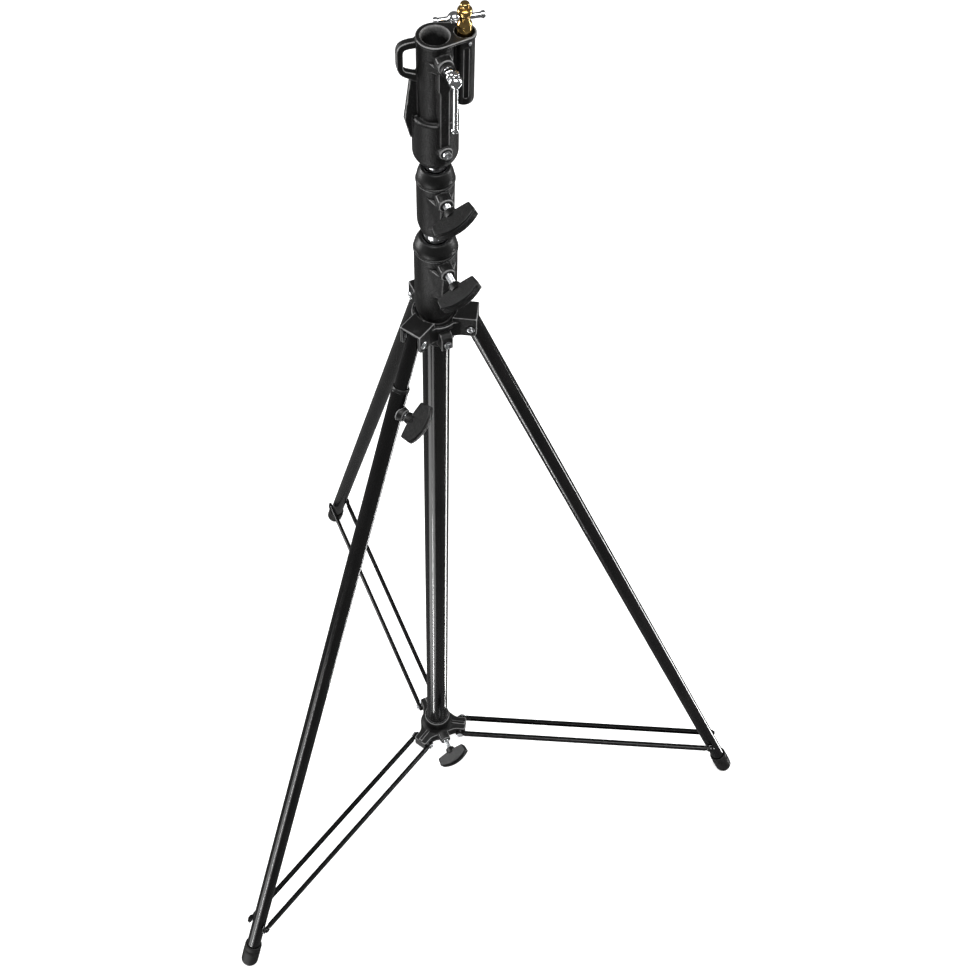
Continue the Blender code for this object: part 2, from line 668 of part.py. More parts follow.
def lock_screw(name, parent, start, reach, boss_reach):
    """A lock screw along +X whose ball head is cross-drilled for a sliding tommy bar."""
    shoulder = reach - LOCK_BALL_R - 0.003
    ball = [(LOCK_BALL_R * sin(a), reach + LOCK_BALL_R * cos(a)) for a in (pi * i / 8 for i in range(7))]
    profile = ball + [
        (LOCK_BALL_R - 0.0015, shoulder + 0.0020),
        (LOCK_BALL_R - 0.0015, shoulder),
        (LOCK_SCREW_R, shoulder - 0.001),
        (LOCK_SCREW_R, start + 0.001),
        (LOCK_SCREW_R - 0.001, start),
        (0, start),
    ]
    screw = turned(name, profile, parent, rotation=TO_X, finish="chrome", steps=SMALL)
    hole = rod(f"{name}_cross_hole", TOMMY_R + GAP, -LOCK_BALL_R * 2, LOCK_BALL_R * 2, parent, (reach, 0, 0))
    combine(screw, "DIFFERENCE", hole)
    return screw, hole


def tommy_bar(name, length, parent, location, rotation):
    """A round bar with a pressed cap at each end, centred on its location."""
    half = length / 2
    profile = [
        (0, half),
        (TOMMY_CAP_R - 0.001, half),
        (TOMMY_CAP_R, half - 0.001),
        (TOMMY_CAP_R, half - TOMMY_CAP),
        (TOMMY_R, half - TOMMY_CAP),
    ]
    profile += [(radius, -height) for radius, height in reversed(profile)]
    turned(name, profile, parent, location, rotation, "chrome", 16)


lock_screw("socket_lock_screw", SOCKET_LOCK, SOCKET_R + 0.0005, SOCKET_LOCK_REACH, SOCKET_OUTER_R + 0.0130)
socket_bar_middle = LOCK_BALL_R + 0.0005 + TOMMY_CAP - SOCKET_BAR_LENGTH / 2
tommy_bar("socket_lock_bar", SOCKET_BAR_LENGTH, SOCKET_LOCK, (SOCKET_LOCK_REACH, 0, socket_bar_middle), (0, 0, 0))

stud_screw, stud_cross = lock_screw("stud_lock_screw", STUD_LOCK, STUD_R + 0.0005, STUD_LOCK_REACH, 0.0)
stud_cross.rotation_euler = (pi / 2, 0, 0)
tommy_bar("stud_lock_bar", STUD_BAR_LENGTH, STUD_LOCK, (STUD_LOCK_REACH, -STUD_BAR_SHIFT, 0), (pi / 2, 0, 0))

# ------------------------------------------------------------------ leg hub
hub = turned(
    "leg_hub",
    [
        (0, HUB_TOP + 0.002),
        (HUB_R, HUB_TOP + 0.002),
        (HUB_R, HINGE_Z - HUB_DROP + 0.002),
        (HUB_R - 0.0015, HINGE_Z - HUB_DROP),
        (0, HINGE_Z - HUB_DROP),
    ],
    STAND,
    finish="black_casting",
)
arm_outline = [
    (0.0, -ARM_DROP),
    (ARM_REACH - 0.006, -ARM_DROP),
    (ARM_REACH - 0.002, -ARM_DROP + 0.003),
    (ARM_REACH, -ARM_DROP + 0.008),
    (ARM_REACH, ARM_RISE - 0.0015),
    (ARM_REACH - 0.0015, ARM_RISE),
    (0.0, ARM_RISE),
]
slots, pin_holes, hub_frames = [], [], {}
for side, azimuth in LEG_AZIMUTHS.items():
    hub_frames[side] = frame(f"{side}_hub_axis", STAND, (0, 0, HINGE_Z), (0, 0, azimuth))
    arm = plate(f"{side}_arm", arm_outline, ARM_WIDTH, hub_frames[side], rotation=UPRIGHT)
    combine(hub, "UNION", arm)
    slot_start = HUB_R + 0.005
    slot_top = ARM_RISE - ARM_ROOF
    slot_bottom = -HUB_DROP - 0.005
    slots.append(box(f"{side}_slot", (ARM_REACH, ARM_SLOT, slot_top - slot_bottom), hub_frames[side],
                     (slot_start + ARM_REACH / 2, 0, (slot_top + slot_bottom) / 2)))
    pin_holes.append(rod(f"{side}_hub_hole", PIN_R + PIN_FIT, -ARM_WIDTH, ARM_WIDTH, hub_frames[side],
                         (HINGE_RADIUS, 0, 0), TO_Y))

HUB_BOLT = frame("hub_bolt_axis", STAND, (0, 0, HINGE_Z - 0.012), (0, 0, KNOB_AZIMUTH))
lug_reach = HUB_R + 0.0125
lug = box("hub_lug", (lug_reach, 0.0150, 0.0220), HUB_BOLT, (lug_reach / 2, 0, 0))
combine(hub, "UNION", lug)
collar_pocket = rod("collar_pocket", LOWER_COLLAR_R + 0.0008, HUB_TOP, HUB_TOP + ARM_RISE, STAND, steps=ROUND)
hub_bore = rod("hub_bore", COLUMN_R + GAP, HINGE_Z - HUB_DROP - 0.001, HINGE_Z + ARM_RISE + 0.001, STAND, steps=ROUND)
hub_bolt_hole = rod("hub_bolt_hole", bolt_r + GAP, COLUMN_R * 0.5, lug_reach + 0.002, HUB_BOLT, rotation=TO_X)
combine(hub, "DIFFERENCE", collar_pocket, hub_bore, hub_bolt_hole, *slots, *pin_holes)
cap_screw("hub_clamp_bolt", HUB_BOLT, COLUMN_R + GAP, lug_reach)

for side in LEG_AZIMUTHS:
    hinge = frame(f"{side}_hinge_axis", hub_frames[side], (HINGE_RADIUS, 0, 0))
    rivet(f"{side}_hub_pin", ARM_WIDTH, hinge)


# ------------------------------------------------------------------ spider
spider = turned(
    "spider",
    [
        (0, SPIDER_Z + SPIDER_HEIGHT),
        (SPIDER_R - 0.001, SPIDER_Z + SPIDER_HEIGHT),
        (SPIDER_R, SPIDER_Z + SPIDER_HEIGHT - 0.001),
        (SPIDER_R, SPIDER_Z),
        (0, SPIDER_Z),
    ],
    STAND,
    finish="black_casting",
)
SPIDER_KNOB = frame("spider_knob_axis", STAND, (0, 0, SPIDER_Z + SPIDER_KNOB_RISE), (0, 0, KNOB_AZIMUTH))
web = turned(
    "spider_web",
    [
        (0, SPIDER_PIVOT_Z + SPIDER_WEB / 2 + 0.007),
        (SPIDER_R - 0.001, SPIDER_PIVOT_Z + SPIDER_WEB / 2 + 0.007),
        (SPIDER_WEB_R, SPIDER_PIVOT_Z + SPIDER_WEB / 2 - 0.002),
        (SPIDER_WEB_R, SPIDER_PIVOT_Z - SPIDER_WEB / 2),
        (0, SPIDER_PIVOT_Z - SPIDER_WEB / 2),
    ],
    STAND,
)
SPIDER_REACH = SPIDER_R + 0.0185
combine(spider, "UNION", web, *clamp_boss("spider", SPIDER_KNOB, SPIDER_R, SPIDER_REACH))
spider_holes, spider_frames = [], {}
for side, azimuth in LEG_AZIMUTHS.items():
    spider_frames[side] = frame(f"{side}_spider_axis", STAND, (0, 0, SPIDER_PIVOT_Z), (0, 0, azimuth))
    ear_reach = SPIDER_PIVOT_RADIUS + EAR_OVERHANG
    ear = box(f"{side}_ear", (ear_reach, EAR_WIDTH, EAR_HEIGHT), spider_frames[side], (ear_reach / 2, 0, 0))
    combine(spider, "UNION", ear)
    spider_holes.append(rod(f"{side}_spider_hole", PIN_R + PIN_FIT, -EAR_WIDTH, EAR_WIDTH, spider_frames[side],
                            (SPIDER_PIVOT_RADIUS, 0, 0), TO_Y))
spider_bore = rod("spider_bore", COLUMN_R + SLIDE_FIT, SPIDER_Z - 0.001, SPIDER_Z + SPIDER_HEIGHT + 0.001, STAND,
                  steps=ROUND)
combine(spider, "DIFFERENCE", spider_bore, boss_hole("spider", SPIDER_KNOB, COLUMN_R * 0.5, SPIDER_REACH),
        *spider_holes)
clamp_knob("spider", SPIDER_KNOB, COLUMN_R, SPIDER_REACH, LOWER_KNOB_STANDOFF)


# ------------------------------------------------------------------ braces
def brace(name, offset, parent):
    """One channel-section brace bar along +X of its frame, drilled and riveted; its middle is at y = offset."""
    end = BRACE_LENGTH
    nose = BRACE_OVERHANG
    half = BRACE_HEIGHT / 2
    outline = arc((nose - BRACE_OVERHANG - (BRACE_OVERHANG - half), 0), half, 270, 90, 5) + arc(
        (end + BRACE_OVERHANG - half, 0), half, 90, -90, 5
    )
    bar = plate(name, outline, BRACE_THICK, parent, (0, offset, 0), UPRIGHT, "gloss_black", 0.0014)
    out = 1 if offset > 0 else -1
    outside = offset + out * (BRACE_THICK / 2 + 0.0016)
    head = rod(f"{name}_rivet", RIVET_HEAD_R, min(offset, outside), max(offset, outside), parent, (end, 0, 0), TO_Y)
    combine(bar, "UNION", head)
    combine(bar, "DIFFERENCE", rod(f"{name}_hole", PIN_R + PIN_FIT, -BRACE_SPACING, BRACE_SPACING, parent,
                                   rotation=TO_Y))


for side in LEG_AZIMUTHS:
    pivot = frame(f"{side}_brace_axis", spider_frames[side], (SPIDER_PIVOT_RADIUS, 0, 0), (0, -BRACE_RISE, 0))
    brace(f"{side}_brace_a", -BRACE_SPACING / 2, pivot)
    brace(f"{side}_brace_b", BRACE_SPACING / 2, pivot)
    rivet(f"{side}_spider_pin", 2 * BRACE_OUTSIDE, pivot)


# ------------------------------------------------------------------ legs and feet
def foot(side, parent):
    """A rubber boot pushed on the leg's end: a ball below, ground flat where it meets the floor."""
    ball = [(FOOT_R * sin(a), FOOT_R * cos(a)) for a in (pi / 2 + pi / 10 * i for i in range(6))]
    bore = LEG_R + GAP
    profile = [
        (0, FOOT_SOCKET),
        (bore, FOOT_SOCKET),
        (bore, FOOT_BOOT),
        (FOOT_R - 0.0008, FOOT_BOOT),
        (FOOT_R, FOOT_BOOT - 0.001),
        (FOOT_R, FOOT_BOOT - 0.008),
        (FOOT_R - 0.0007, FOOT_BOOT - 0.009),
        (FOOT_R - 0.0007, FOOT_BOOT - 0.013),
    ] + ball[:-1] + [(0, -FOOT_R)]
    boot = turned(f"{side}_foot", profile, parent, (0, 0, -LEG_LENGTH), finish="rubber", steps=LEG_SIDES)
    floor_cut = box(f"{side}_floor_cut", (0.2, 0.2, 0.02), STAND,
                    (FOOT_RADIUS * cos(LEG_AZIMUTHS[side]), FOOT_RADIUS * sin(LEG_AZIMUTHS[side]), -0.01))
    combine(boot, "DIFFERENCE", floor_cut)


def cross_hole(name, parent, distance):
    """A pivot pin's hole straight through a leg tube, a distance below the hinge."""
    return rod(name, PIN_R + PIN_FIT, -LEG_R * 2, LEG_R * 2, parent, (0, 0, -distance), TO_Y)


for side in LEG_AZIMUTHS:
    leg = frame(f"{side}_leg_axis", hub_frames[side], (HINGE_RADIUS, 0, 0), (0, -LEG_TILT, 0))
    leg_end = -LEG_LENGTH + FOOT_SOCKET + GAP
    pivot_down = LEG_LENGTH - BRACE_ON_LEG
    if side == "levelling":
        inner = tube("levelling_inner_tube", LEVELLING_INNER_R, LEG_WALL, LEG_OVER_HINGE - LEVELLING_INNER_LENGTH,
                     LEG_OVER_HINGE, leg, "gloss_black", LEG_SIDES)
        combine(inner, "DIFFERENCE", cross_hole("levelling_hinge_hole", leg, 0))
        outer = tube("levelling_outer_tube", LEG_R, LEG_WALL, leg_end, -LEVELLING_MOUTH, leg, "gloss_black", LEG_SIDES)
        clamp = frame("levelling_clamp_axis", leg, (0, 0, -LEVELLING_CLAMP), (0, 0, pi / 2))
        reach = LEG_R + 0.0060
        combine(outer, "DIFFERENCE", cross_hole("levelling_pivot_hole", leg, pivot_down),
                boss_hole("levelling_wall", clamp, 0, reach))
        turned("levelling_cap",
               [(LEG_R + 0.0005, -LEVELLING_MOUTH + LEVELLING_CAP), (LEG_R + 0.0005, -LEVELLING_MOUTH + GAP),
                (LEVELLING_INNER_R + GAP, -LEVELLING_MOUTH + GAP),
                (LEVELLING_INNER_R + GAP, -LEVELLING_MOUTH + LEVELLING_CAP)],
               leg, finish="black_plastic", steps=LEG_SIDES, ring=True)
        boss = turned("levelling_clamp_boss",
                      [(0, reach), (BOSS_R - 0.001, reach), (BOSS_R, reach - 0.001), (BOSS_R + 0.0005, LEG_R + 0.002),
                       (BOSS_R + 0.0018, LEG_R * 0.6), (0, LEG_R * 0.6)],
                      clamp, rotation=TO_X, finish="black_casting", steps=LEG_SIDES)
        saddle = rod("levelling_saddle", LEG_R + GAP, -0.05, 0.05, clamp, steps=LEG_SIDES)
        combine(boss, "DIFFERENCE", saddle, boss_hole("levelling", clamp, 0, reach))
        # the pad here is as thin as the tube's wall that it sits in
        face = reach + LEVELLING_KNOB_STANDOFF
        hub_start = face - KNOB_HUB + 0.002
        pad_end = LEG_R - 0.0002
        rod("levelling_pad", SCREW_R - GAP, LEVELLING_INNER_R + GAP, pad_end, clamp, rotation=TO_X, finish="brass")
        rod("levelling_screw", SCREW_R, pad_end + GAP, face + 0.004, clamp, rotation=TO_X, finish="zinc")
        half = KNOB_LENGTH / 2
        radius = (half**2 + KNOB_CROWN**2) / (2 * KNOB_CROWN)
        spread = asin(half / radius)
        middle = face + KNOB_DEPTH + KNOB_CROWN - radius
        crown = [(middle + radius * cos(a), radius * sin(a)) for a in (spread * (i / 4 - 1) for i in range(9))]
        knob = plate("levelling_knob", [(face, -half * 0.97), *crown, (face, half * 0.97)], KNOB_WIDTH, clamp,
                     rotation=(LEVELLING_KNOB_TURN, 0, 0), finish="black_plastic", round_edge=0.0015)
        combine(knob, "UNION", rod("levelling_knob_hub", KNOB_HUB_R, hub_start, face + 0.003, clamp, rotation=TO_X))
        combine(knob, "DIFFERENCE",
                rod("levelling_knob_hole", SCREW_R + GAP, hub_start - 0.001, face + 0.004 + GAP, clamp, rotation=TO_X))
    else:
        outer = tube(f"{side}_leg_tube", LEG_R, LEG_WALL, leg_end, LEG_OVER_HINGE, leg, "gloss_black", LEG_SIDES)
        combine(outer, "DIFFERENCE", cross_hole(f"{side}_hinge_hole", leg, 0),
                cross_hole(f"{side}_pivot_hole", leg, pivot_down))
    rod(f"{side}_leg_pin", PIN_R, -LEG_R, LEG_R, leg, (0, 0, -pivot_down), TO_Y, "zinc")
    foot(side, leg)
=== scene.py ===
from math import cos, pi, radians, sin

import bmesh
import bpy
import numpy as np
from mathutils import Matrix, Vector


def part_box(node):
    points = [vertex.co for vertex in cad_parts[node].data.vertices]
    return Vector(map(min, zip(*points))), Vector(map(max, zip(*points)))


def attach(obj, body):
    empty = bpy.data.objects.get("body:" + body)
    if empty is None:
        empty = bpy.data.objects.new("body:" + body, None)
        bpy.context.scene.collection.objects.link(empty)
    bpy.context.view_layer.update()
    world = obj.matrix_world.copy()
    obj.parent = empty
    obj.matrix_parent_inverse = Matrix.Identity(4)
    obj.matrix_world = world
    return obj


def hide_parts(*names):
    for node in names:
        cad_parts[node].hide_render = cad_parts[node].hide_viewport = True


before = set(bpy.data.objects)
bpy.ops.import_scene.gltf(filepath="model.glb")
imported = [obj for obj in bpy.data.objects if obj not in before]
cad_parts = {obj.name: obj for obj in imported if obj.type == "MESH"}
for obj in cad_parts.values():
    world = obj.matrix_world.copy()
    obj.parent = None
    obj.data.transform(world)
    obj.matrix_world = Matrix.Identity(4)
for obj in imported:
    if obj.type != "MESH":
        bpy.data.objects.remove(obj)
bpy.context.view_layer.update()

# ---------------------------------------------------------------------------------------------
# Column: a 35 mm steel tube, stove-enamelled gloss black, closed below by a push-in plastic plug.
# Everything else on the stand is clamped to it, slides on it or slides in it.


def unit(v):
    """The vector divided by its length."""
    v = np.asarray(v, float)
    return v / np.linalg.norm(v)


def axes(origin=(0, 0, 0), x=(1, 0, 0), z=(0, 0, 1)):
    """A place as a 4 by 4 matrix: Z along z, X along the part of x square to it, Y = Z cross X."""
    z = unit(z)
    x = unit(np.asarray(x, float) - np.dot(x, z) * z)
    place = np.eye(4)
    place[:3, :4] = np.stack([x, np.cross(z, x), z, np.asarray(origin, float)], 1)
    return place


def moved(x=0.0, y=0.0, z=0.0):
    """A shift as a 4 by 4 matrix."""
    place = np.eye(4)
    place[:3, 3] = (x, y, z)
    return place


def spun(degrees):
    """A turn about Z as a 4 by 4 matrix."""
    return axes(x=(cos(radians(degrees)), sin(radians(degrees)), 0))


def tipped(degrees):
    """A turn about X as a 4 by 4 matrix."""
    return axes(z=(0, -sin(radians(degrees)), cos(radians(degrees))))


def skin(rings, place, joined=False):
    """Rings of points, ring by point by xyz, stitched with quads. The end rings are capped, or joined to each other."""
    rings = np.asarray(rings, float)
    n, m = rings.shape[:2]
    i, j = np.meshgrid(np.arange(n if joined else n - 1), np.arange(m), indexing="ij")
    near, far = i * m, (i + 1) % n * m
    quads = np.stack([near + j, far + j, far + (j + 1) % m, near + (j + 1) % m], -1).reshape(-1, 4)
    caps = [] if joined else [list(range(m)), list(range(n * m - 1, (n - 1) * m - 1, -1))]
    return rings.reshape(-1, 3) @ place[:3, :3].T + place[:3, 3], quads.tolist() + caps


def eased(corners, radius, steps=5, closed=True):
    """Corners rounded off: (1-u)^2 a + 2u(1-u) corner + u^2 b, where a and b lie radius before and after the corner."""
    p = np.asarray(corners, float)
    r = np.broadcast_to(np.asarray(radius, float), len(p))[:, None]
    back, ahead = np.roll(p, 1, 0) - p, np.roll(p, -1, 0) - p
    lb, la = np.linalg.norm(back, axis=1, keepdims=True), np.linalg.norm(ahead, axis=1, keepdims=True)
    a, b = p + back / lb * np.minimum(r, lb * 0.49), p + ahead / la * np.minimum(r, la * 0.49)
    u = np.linspace(0, 1, steps)[None, :, None]
    arcs = (1 - u) ** 2 * a[:, None] + 2 * u * (1 - u) * p[:, None] + u**2 * b[:, None]
    if not closed:
        arcs[0], arcs[-1] = p[0], p[-1]
    flat = arcs.reshape(-1, 2)
    return flat[np.linalg.norm(flat - np.roll(flat, 1, 0), axis=1) > 1e-7]


def turned(profile, place, sides=64, joined=False):
    """A profile of (radius, height) carried round Z: x = r cos t, y = r sin t, z = h."""
    p = np.asarray(profile, float)
    t = np.linspace(0, 2 * pi, sides, endpoint=False)
    return skin(np.stack([p[:, :1] * np.cos(t), p[:, :1] * np.sin(t), p[:, 1:] + 0 * t], -1), place, joined)


def solid(name, skins):
    """Closed skins as one object with its faces outwards."""
    points, faces, count = [], [], 0
    for p, f in skins:
        points.append(p)
        faces += [[k + count for k in face] for face in f]
        count += len(p)
    mesh = bpy.data.meshes.new(name)
    mesh.from_pydata(np.concatenate(points).tolist(), [], faces)
    bm = bmesh.new()
    bm.from_mesh(mesh)
    bmesh.ops.recalc_face_normals(bm, faces=bm.faces)
    bm.to_mesh(mesh)
    bm.free()
    obj = bpy.data.objects.new(name, mesh)
    bpy.context.scene.collection.objects.link(obj)
    return obj


def dressed(obj, body, finish, nodes, sharp):
    """Shades a finished mesh, gives it its material and hands it to the frame."""
    obj.data.materials.append(finish.material)
    obj.data.shade_smooth()
    obj.data.set_sharp_from_angle(angle=radians(sharp))
    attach(obj, body)
    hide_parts(*nodes)


def piece(name, body, skins, finish, slot, *nodes, sharp=35):
    """Skins as one piece riding on a CAD body and standing for CAD nodes. Flat faces keep their own shading."""
    obj = solid(name, skins)
    dressed(obj, body, finish, nodes, sharp)
    flats = obj.modifiers.new("flats", "WEIGHTED_NORMAL")
    flats.keep_sharp = True


class Value:
    """A socket that can be used in sums: each operator adds its Math node."""

    def __init__(self, tree, socket):
        self.tree, self.socket = tree, socket

    def math(self, operation, a, b):
        node = self.tree.nodes.new("ShaderNodeMath")
        node.operation = operation
        for socket, value in zip(node.inputs, (a, b)):
            if isinstance(value, Value):
                self.tree.links.new(value.socket, socket)
            else:
                socket.default_value = value
        return Value(self.tree, node.outputs[0])

    def __add__(self, other):
        return self.math("ADD", self, other)

    def __radd__(self, other):
        return self.math("ADD", other, self)

    def __sub__(self, other):
        return self.math("SUBTRACT", self, other)

    def __rsub__(self, other):
        return self.math("SUBTRACT", other, self)

    def __mul__(self, other):
        return self.math("MULTIPLY", self, other)

    def __rmul__(self, other):
        return self.math("MULTIPLY", other, self)

    def __pow__(self, other):
        return self.math("POWER", self, other)


class Finish:
    """A material while it is being mixed. Its constants are set on the shader's sockets by name."""

    def __init__(self, name, **constants):
        self.material = bpy.data.materials.new(name)
        self.material.use_nodes = True
        self.tree = self.material.node_tree
        self.shader = self.tree.nodes["Principled BSDF"]
        for socket, value in constants.items():
            self.shader.inputs[socket.replace("_", " ")].default_value = value
        self.place = self.node("ShaderNodeTexCoord", out="Object")

    def node(self, kind, settings=None, sockets=None, out=0):
        """Adds a node: its settings, then its sockets, each a value or what another node gives."""
        node = self.tree.nodes.new(kind)
        for key, value in (settings or {}).items():
            setattr(node, key, value)
        for key, value in (sockets or {}).items():
            if isinstance(value, Value):
                self.tree.links.new(value.socket, node.inputs[key])
            else:
                node.inputs[key].default_value = value
        return Value(self.tree, node.outputs[out])

    def noise(self, size, detail=2.0, stretch=(1, 1, 1)):
        """Cloudy noise from 0 to 1 with blots about size metres across, longer where stretch is under 1."""
        where = self.node("ShaderNodeMapping", sockets={"Vector": self.place, "Scale": stretch})
        return self.node("ShaderNodeTexNoise", sockets={"Vector": where, "Scale": 1 / size, "Detail": detail})

    def shades(self, value, low, dark, high, light):
        """A colour going from dark at the value low to light at high."""
        ramp = self.node("ShaderNodeValToRGB", sockets={"Fac": value})
        for stop, position, colour in zip(self.tree.nodes[-1].color_ramp.elements, (low, high), (dark, light)):
            stop.position, stop.color = position, (*colour, 1)
        return ramp

    def feed(self, **links):
        """Links what varies over the surface to the shader."""
        for socket, value in links.items():
            self.tree.links.new(value.socket, self.shader.inputs[socket.replace("_", " ")])
        return self

    def bump(self, height, depth, strength=0.5):
        """A bump of that depth in metres."""
        sockets = {"Height": height, "Distance": depth, "Strength": strength}
        return self.feed(Normal=self.node("ShaderNodeBump", sockets=sockets))


# gloss enamel: very dark, with a little dust, handling scuffs along the tube and orange peel
enamel = Finish("gloss_black_enamel", Specular_IOR_Level=0.5)
dust = enamel.noise(0.035, 4.0, (1, 1, 0.25))
enamel.feed(
    Base_Color=enamel.shades(dust, 0.35, (0.0025, 0.0025, 0.0027), 0.8, (0.0075, 0.0073, 0.0070)),
    Roughness=0.11 + 0.16 * enamel.noise(0.012, 3.0, (1, 1, 0.12)) ** 2.0,
).bump(enamel.noise(0.0032, 1.0), 0.00002, 0.35)

plastic = Finish("moulded_black_plastic", Specular_IOR_Level=0.4)
grain = plastic.noise(0.0007, 2.0)
plastic.feed(
    Base_Color=plastic.shades(plastic.noise(0.008, 3.0), 0.3, (0.005, 0.005, 0.005), 0.8, (0.011, 0.011, 0.011)),
    Roughness=0.30 + 0.22 * grain,
).bump(grain, 0.00008, 0.8)

low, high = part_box("column_tube")
AXIS = np.array([(low.x + high.x) / 2, 0.0, 0.0])
COLUMN_R, COLUMN_WALL = 0.0175, 0.0016
COLUMN = axes(AXIS)


def pipe(radius, wall, start, end, place, sides=72):
    """A hollow tube along Z with its four rims eased."""
    inner = radius - wall
    return turned(eased([(radius, end), (radius, start), (inner, start), (inner, end)], 0.0005, 4), place, sides, True)


piece("column", "column", [pipe(COLUMN_R, COLUMN_WALL, low.z, high.z, COLUMN, 96)], enamel, "gloss_black", "column_tube")

low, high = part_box("column_end_plug")
plug = eased([(0.010, high.z), (0.0150, high.z), (0.0155, low.z + 0.0032), (0.0195, low.z + 0.0030), (0.0195, low.z + 0.0008),
              (0.0170, low.z), (0.0120, low.z), (0.0112, low.z + 0.0012), (0.004, low.z + 0.0012)], 0.0006, 4, False)
piece("end_plug", "column", [turned(plug, COLUMN)], plastic, "black_plastic", "column_end_plug")

# ---------------------------------------------------------------------------------------------
# Legs: 22 mm enamelled steel tubes, swung on the hub's pins. The levelling leg is a 22 mm tube that
# slides on an inner one, with a moulded ferrule at its mouth.


def centre(node):
    """The middle of a CAD node's box."""
    a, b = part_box(node)
    return np.array((a + b) / 2)


LEGS = {"right": "right_leg", "back": "back_leg", "levelling": "levelling_outer"}
LEG_R, LEG_WALL, LEG_LENGTH = 0.0110, 0.0015, 1.226
LEG_END, LEG_OVER = 0.0143 - LEG_LENGTH, 0.010
hinges = {side: centre(f"{side}_hub_pin") for side in LEGS}
pivots = {side: centre(f"{side}_leg_pin") for side in LEGS}
outwards = {side: unit((hinges[side] - AXIS) * (1, 1, 0)) for side in LEGS}
legs = {side: axes(hinges[side], outwards[side], hinges[side] - pivots[side]) for side in LEGS}

for side in ("right", "back"):
    piece(f"{side}_leg", LEGS[side], [pipe(LEG_R, LEG_WALL, LEG_END, LEG_OVER, legs[side])], enamel, "gloss_black",
          f"{side}_leg_tube")

MOUTH, INNER_R, INNER_END = -0.076, 0.0092, -0.350
place = legs["levelling"]
piece("levelling_inner_leg", "levelling_inner", [pipe(INNER_R, LEG_WALL, INNER_END, LEG_OVER, place)], enamel, "gloss_black",
      "levelling_inner_tube")
piece("levelling_outer_leg", "levelling_outer", [pipe(LEG_R, LEG_WALL, LEG_END, MOUTH, place)], enamel, "gloss_black",
      "levelling_outer_tube")
ferrule = eased([(0.0095, MOUTH + 0.0055), (0.0104, MOUTH + 0.0055), (0.0115, MOUTH + 0.0035), (0.0115, MOUTH + 0.0003),
                 (0.0095, MOUTH + 0.0003)], 0.0005, 4)
piece("levelling_ferrule", "levelling_outer", [turned(ferrule, place, joined=True)], plastic, "black_plastic",
      "levelling_cap")

# ---------------------------------------------------------------------------------------------
# Feet: moulded rubber boots pushed on the legs' ends, a ball below and a grooved collar above, and
# worn flat where they meet the floor.
rubber = Finish("boot_rubber", Specular_IOR_Level=0.35)
scuff = rubber.noise(0.004, 5.0)
rubber.feed(
    Base_Color=rubber.shades(scuff, 0.35, (0.005, 0.005, 0.005), 0.75, (0.018, 0.017, 0.016)),
    Roughness=0.42 + 0.30 * scuff,
).bump(rubber.noise(0.0009, 3.0), 0.00008, 0.6)

BALL_R = 0.0137
boot = np.concatenate([
    eased([(0.0060, 0.0143), (0.0112, 0.0143), (0.0113, 0.0376), (0.0122, 0.0382), (0.0134, 0.0376), (0.0137, 0.0355),
           (0.0137, 0.0305), (0.0127, 0.0297), (0.0127, 0.0262), (0.0137, 0.0252), (0.0140, 0.0215), (0.0137, 0.0030)],
          0.0006, 5, False),
    [(BALL_R * cos(a), -BALL_R * sin(a)) for a in np.linspace(0.1, 1.5, 20)],
])
for side, body in LEGS.items():
    points, faces = turned(boot, legs[side] @ moved(z=-LEG_LENGTH))
    points[:, 2] = np.maximum(points[:, 2], 0.0)
    piece(f"{side}_boot", body, [(points, faces)], rubber, "rubber", f"{side}_foot")

# ---------------------------------------------------------------------------------------------
# Hub: a die-cast ring pinched on the column under the lower collar, with three slotted arms that
# the legs swing in. Its cheeks, webs and lug run into each other with small cast fillets, and all
# of it is powder coated with a fine texture, as the other castings are.
powder = Finish("textured_powder_coat", Specular_IOR_Level=0.4)
pebble = powder.noise(0.0017, 2.5)
blot = powder.noise(0.012, 3.0)
convex = powder.node("ShaderNodeNewGeometry", out="Pointiness")
edge = powder.node("ShaderNodeMapRange", sockets={"Value": convex, "From Min": 0.512, "From Max": 0.55})
# painted highlight: convex edges, found by pointiness, are painted light grey along the castings' rims
painted_edge_highlight = edge * (0.4 + 0.6 * pebble)
powder.feed(
    Base_Color=powder.shades(0.3 * blot + painted_edge_highlight, 0.2, (0.0025, 0.0025, 0.0025), 0.9, (0.34, 0.34, 0.34)),
    Roughness=0.30 + 0.20 * pebble + 0.10 * blot - 0.12 * edge,
).bump(pebble, 0.0006, 1.0)

GRAIN = 0.0008
UPRIGHT = axes(z=(0, -1, 0))  # turns an outline's (x, y) to (X, Z)
ALONG_X = axes(x=(0, 1, 0), z=(1, 0, 0))  # turns Z to X
ALONG_Y = axes(x=(0, 0, 1), z=(0, 1, 0))  # turns Z to Y


def slab(outline, thickness, place, edge=0.0, steps=4):
    """An outline, anticlockwise, thick along Z. Rounded rims: inset edge(1 - sin a) at height half - edge(1 - cos a)."""
    o = np.asarray(outline, float)
    along = np.roll(o, -1, 0) - np.roll(o, 1, 0)
    inward = np.stack([-along[:, 1], along[:, 0]], 1) / np.linalg.norm(along, axis=1, keepdims=True)
    a = np.linspace(0, pi / 2, steps if edge else 1)
    inset, height = edge * (1 - np.sin(a)), thickness / 2 - edge * (1 - np.cos(a))
    inset, height = np.concatenate([inset, inset[::-1]]), np.concatenate([height, -height[::-1]])
    flat = o[None] + inward[None] * inset[:, None, None]
    return skin(np.concatenate([flat, np.broadcast_to(height[:, None, None], (*flat.shape[:2], 1))], 2), place)


def block(x, y, z, place, edge=0.0):
    """A box between the given pairs of coordinates."""
    (x0, x1), (y0, y1), (z0, z1) = x, y, z
    corners = [(x0, y0), (x1, y0), (x1, y1), (x0, y1)]
    return slab(eased(corners, edge, 4) if edge else corners, z1 - z0, place @ moved(z=(z0 + z1) / 2), edge)


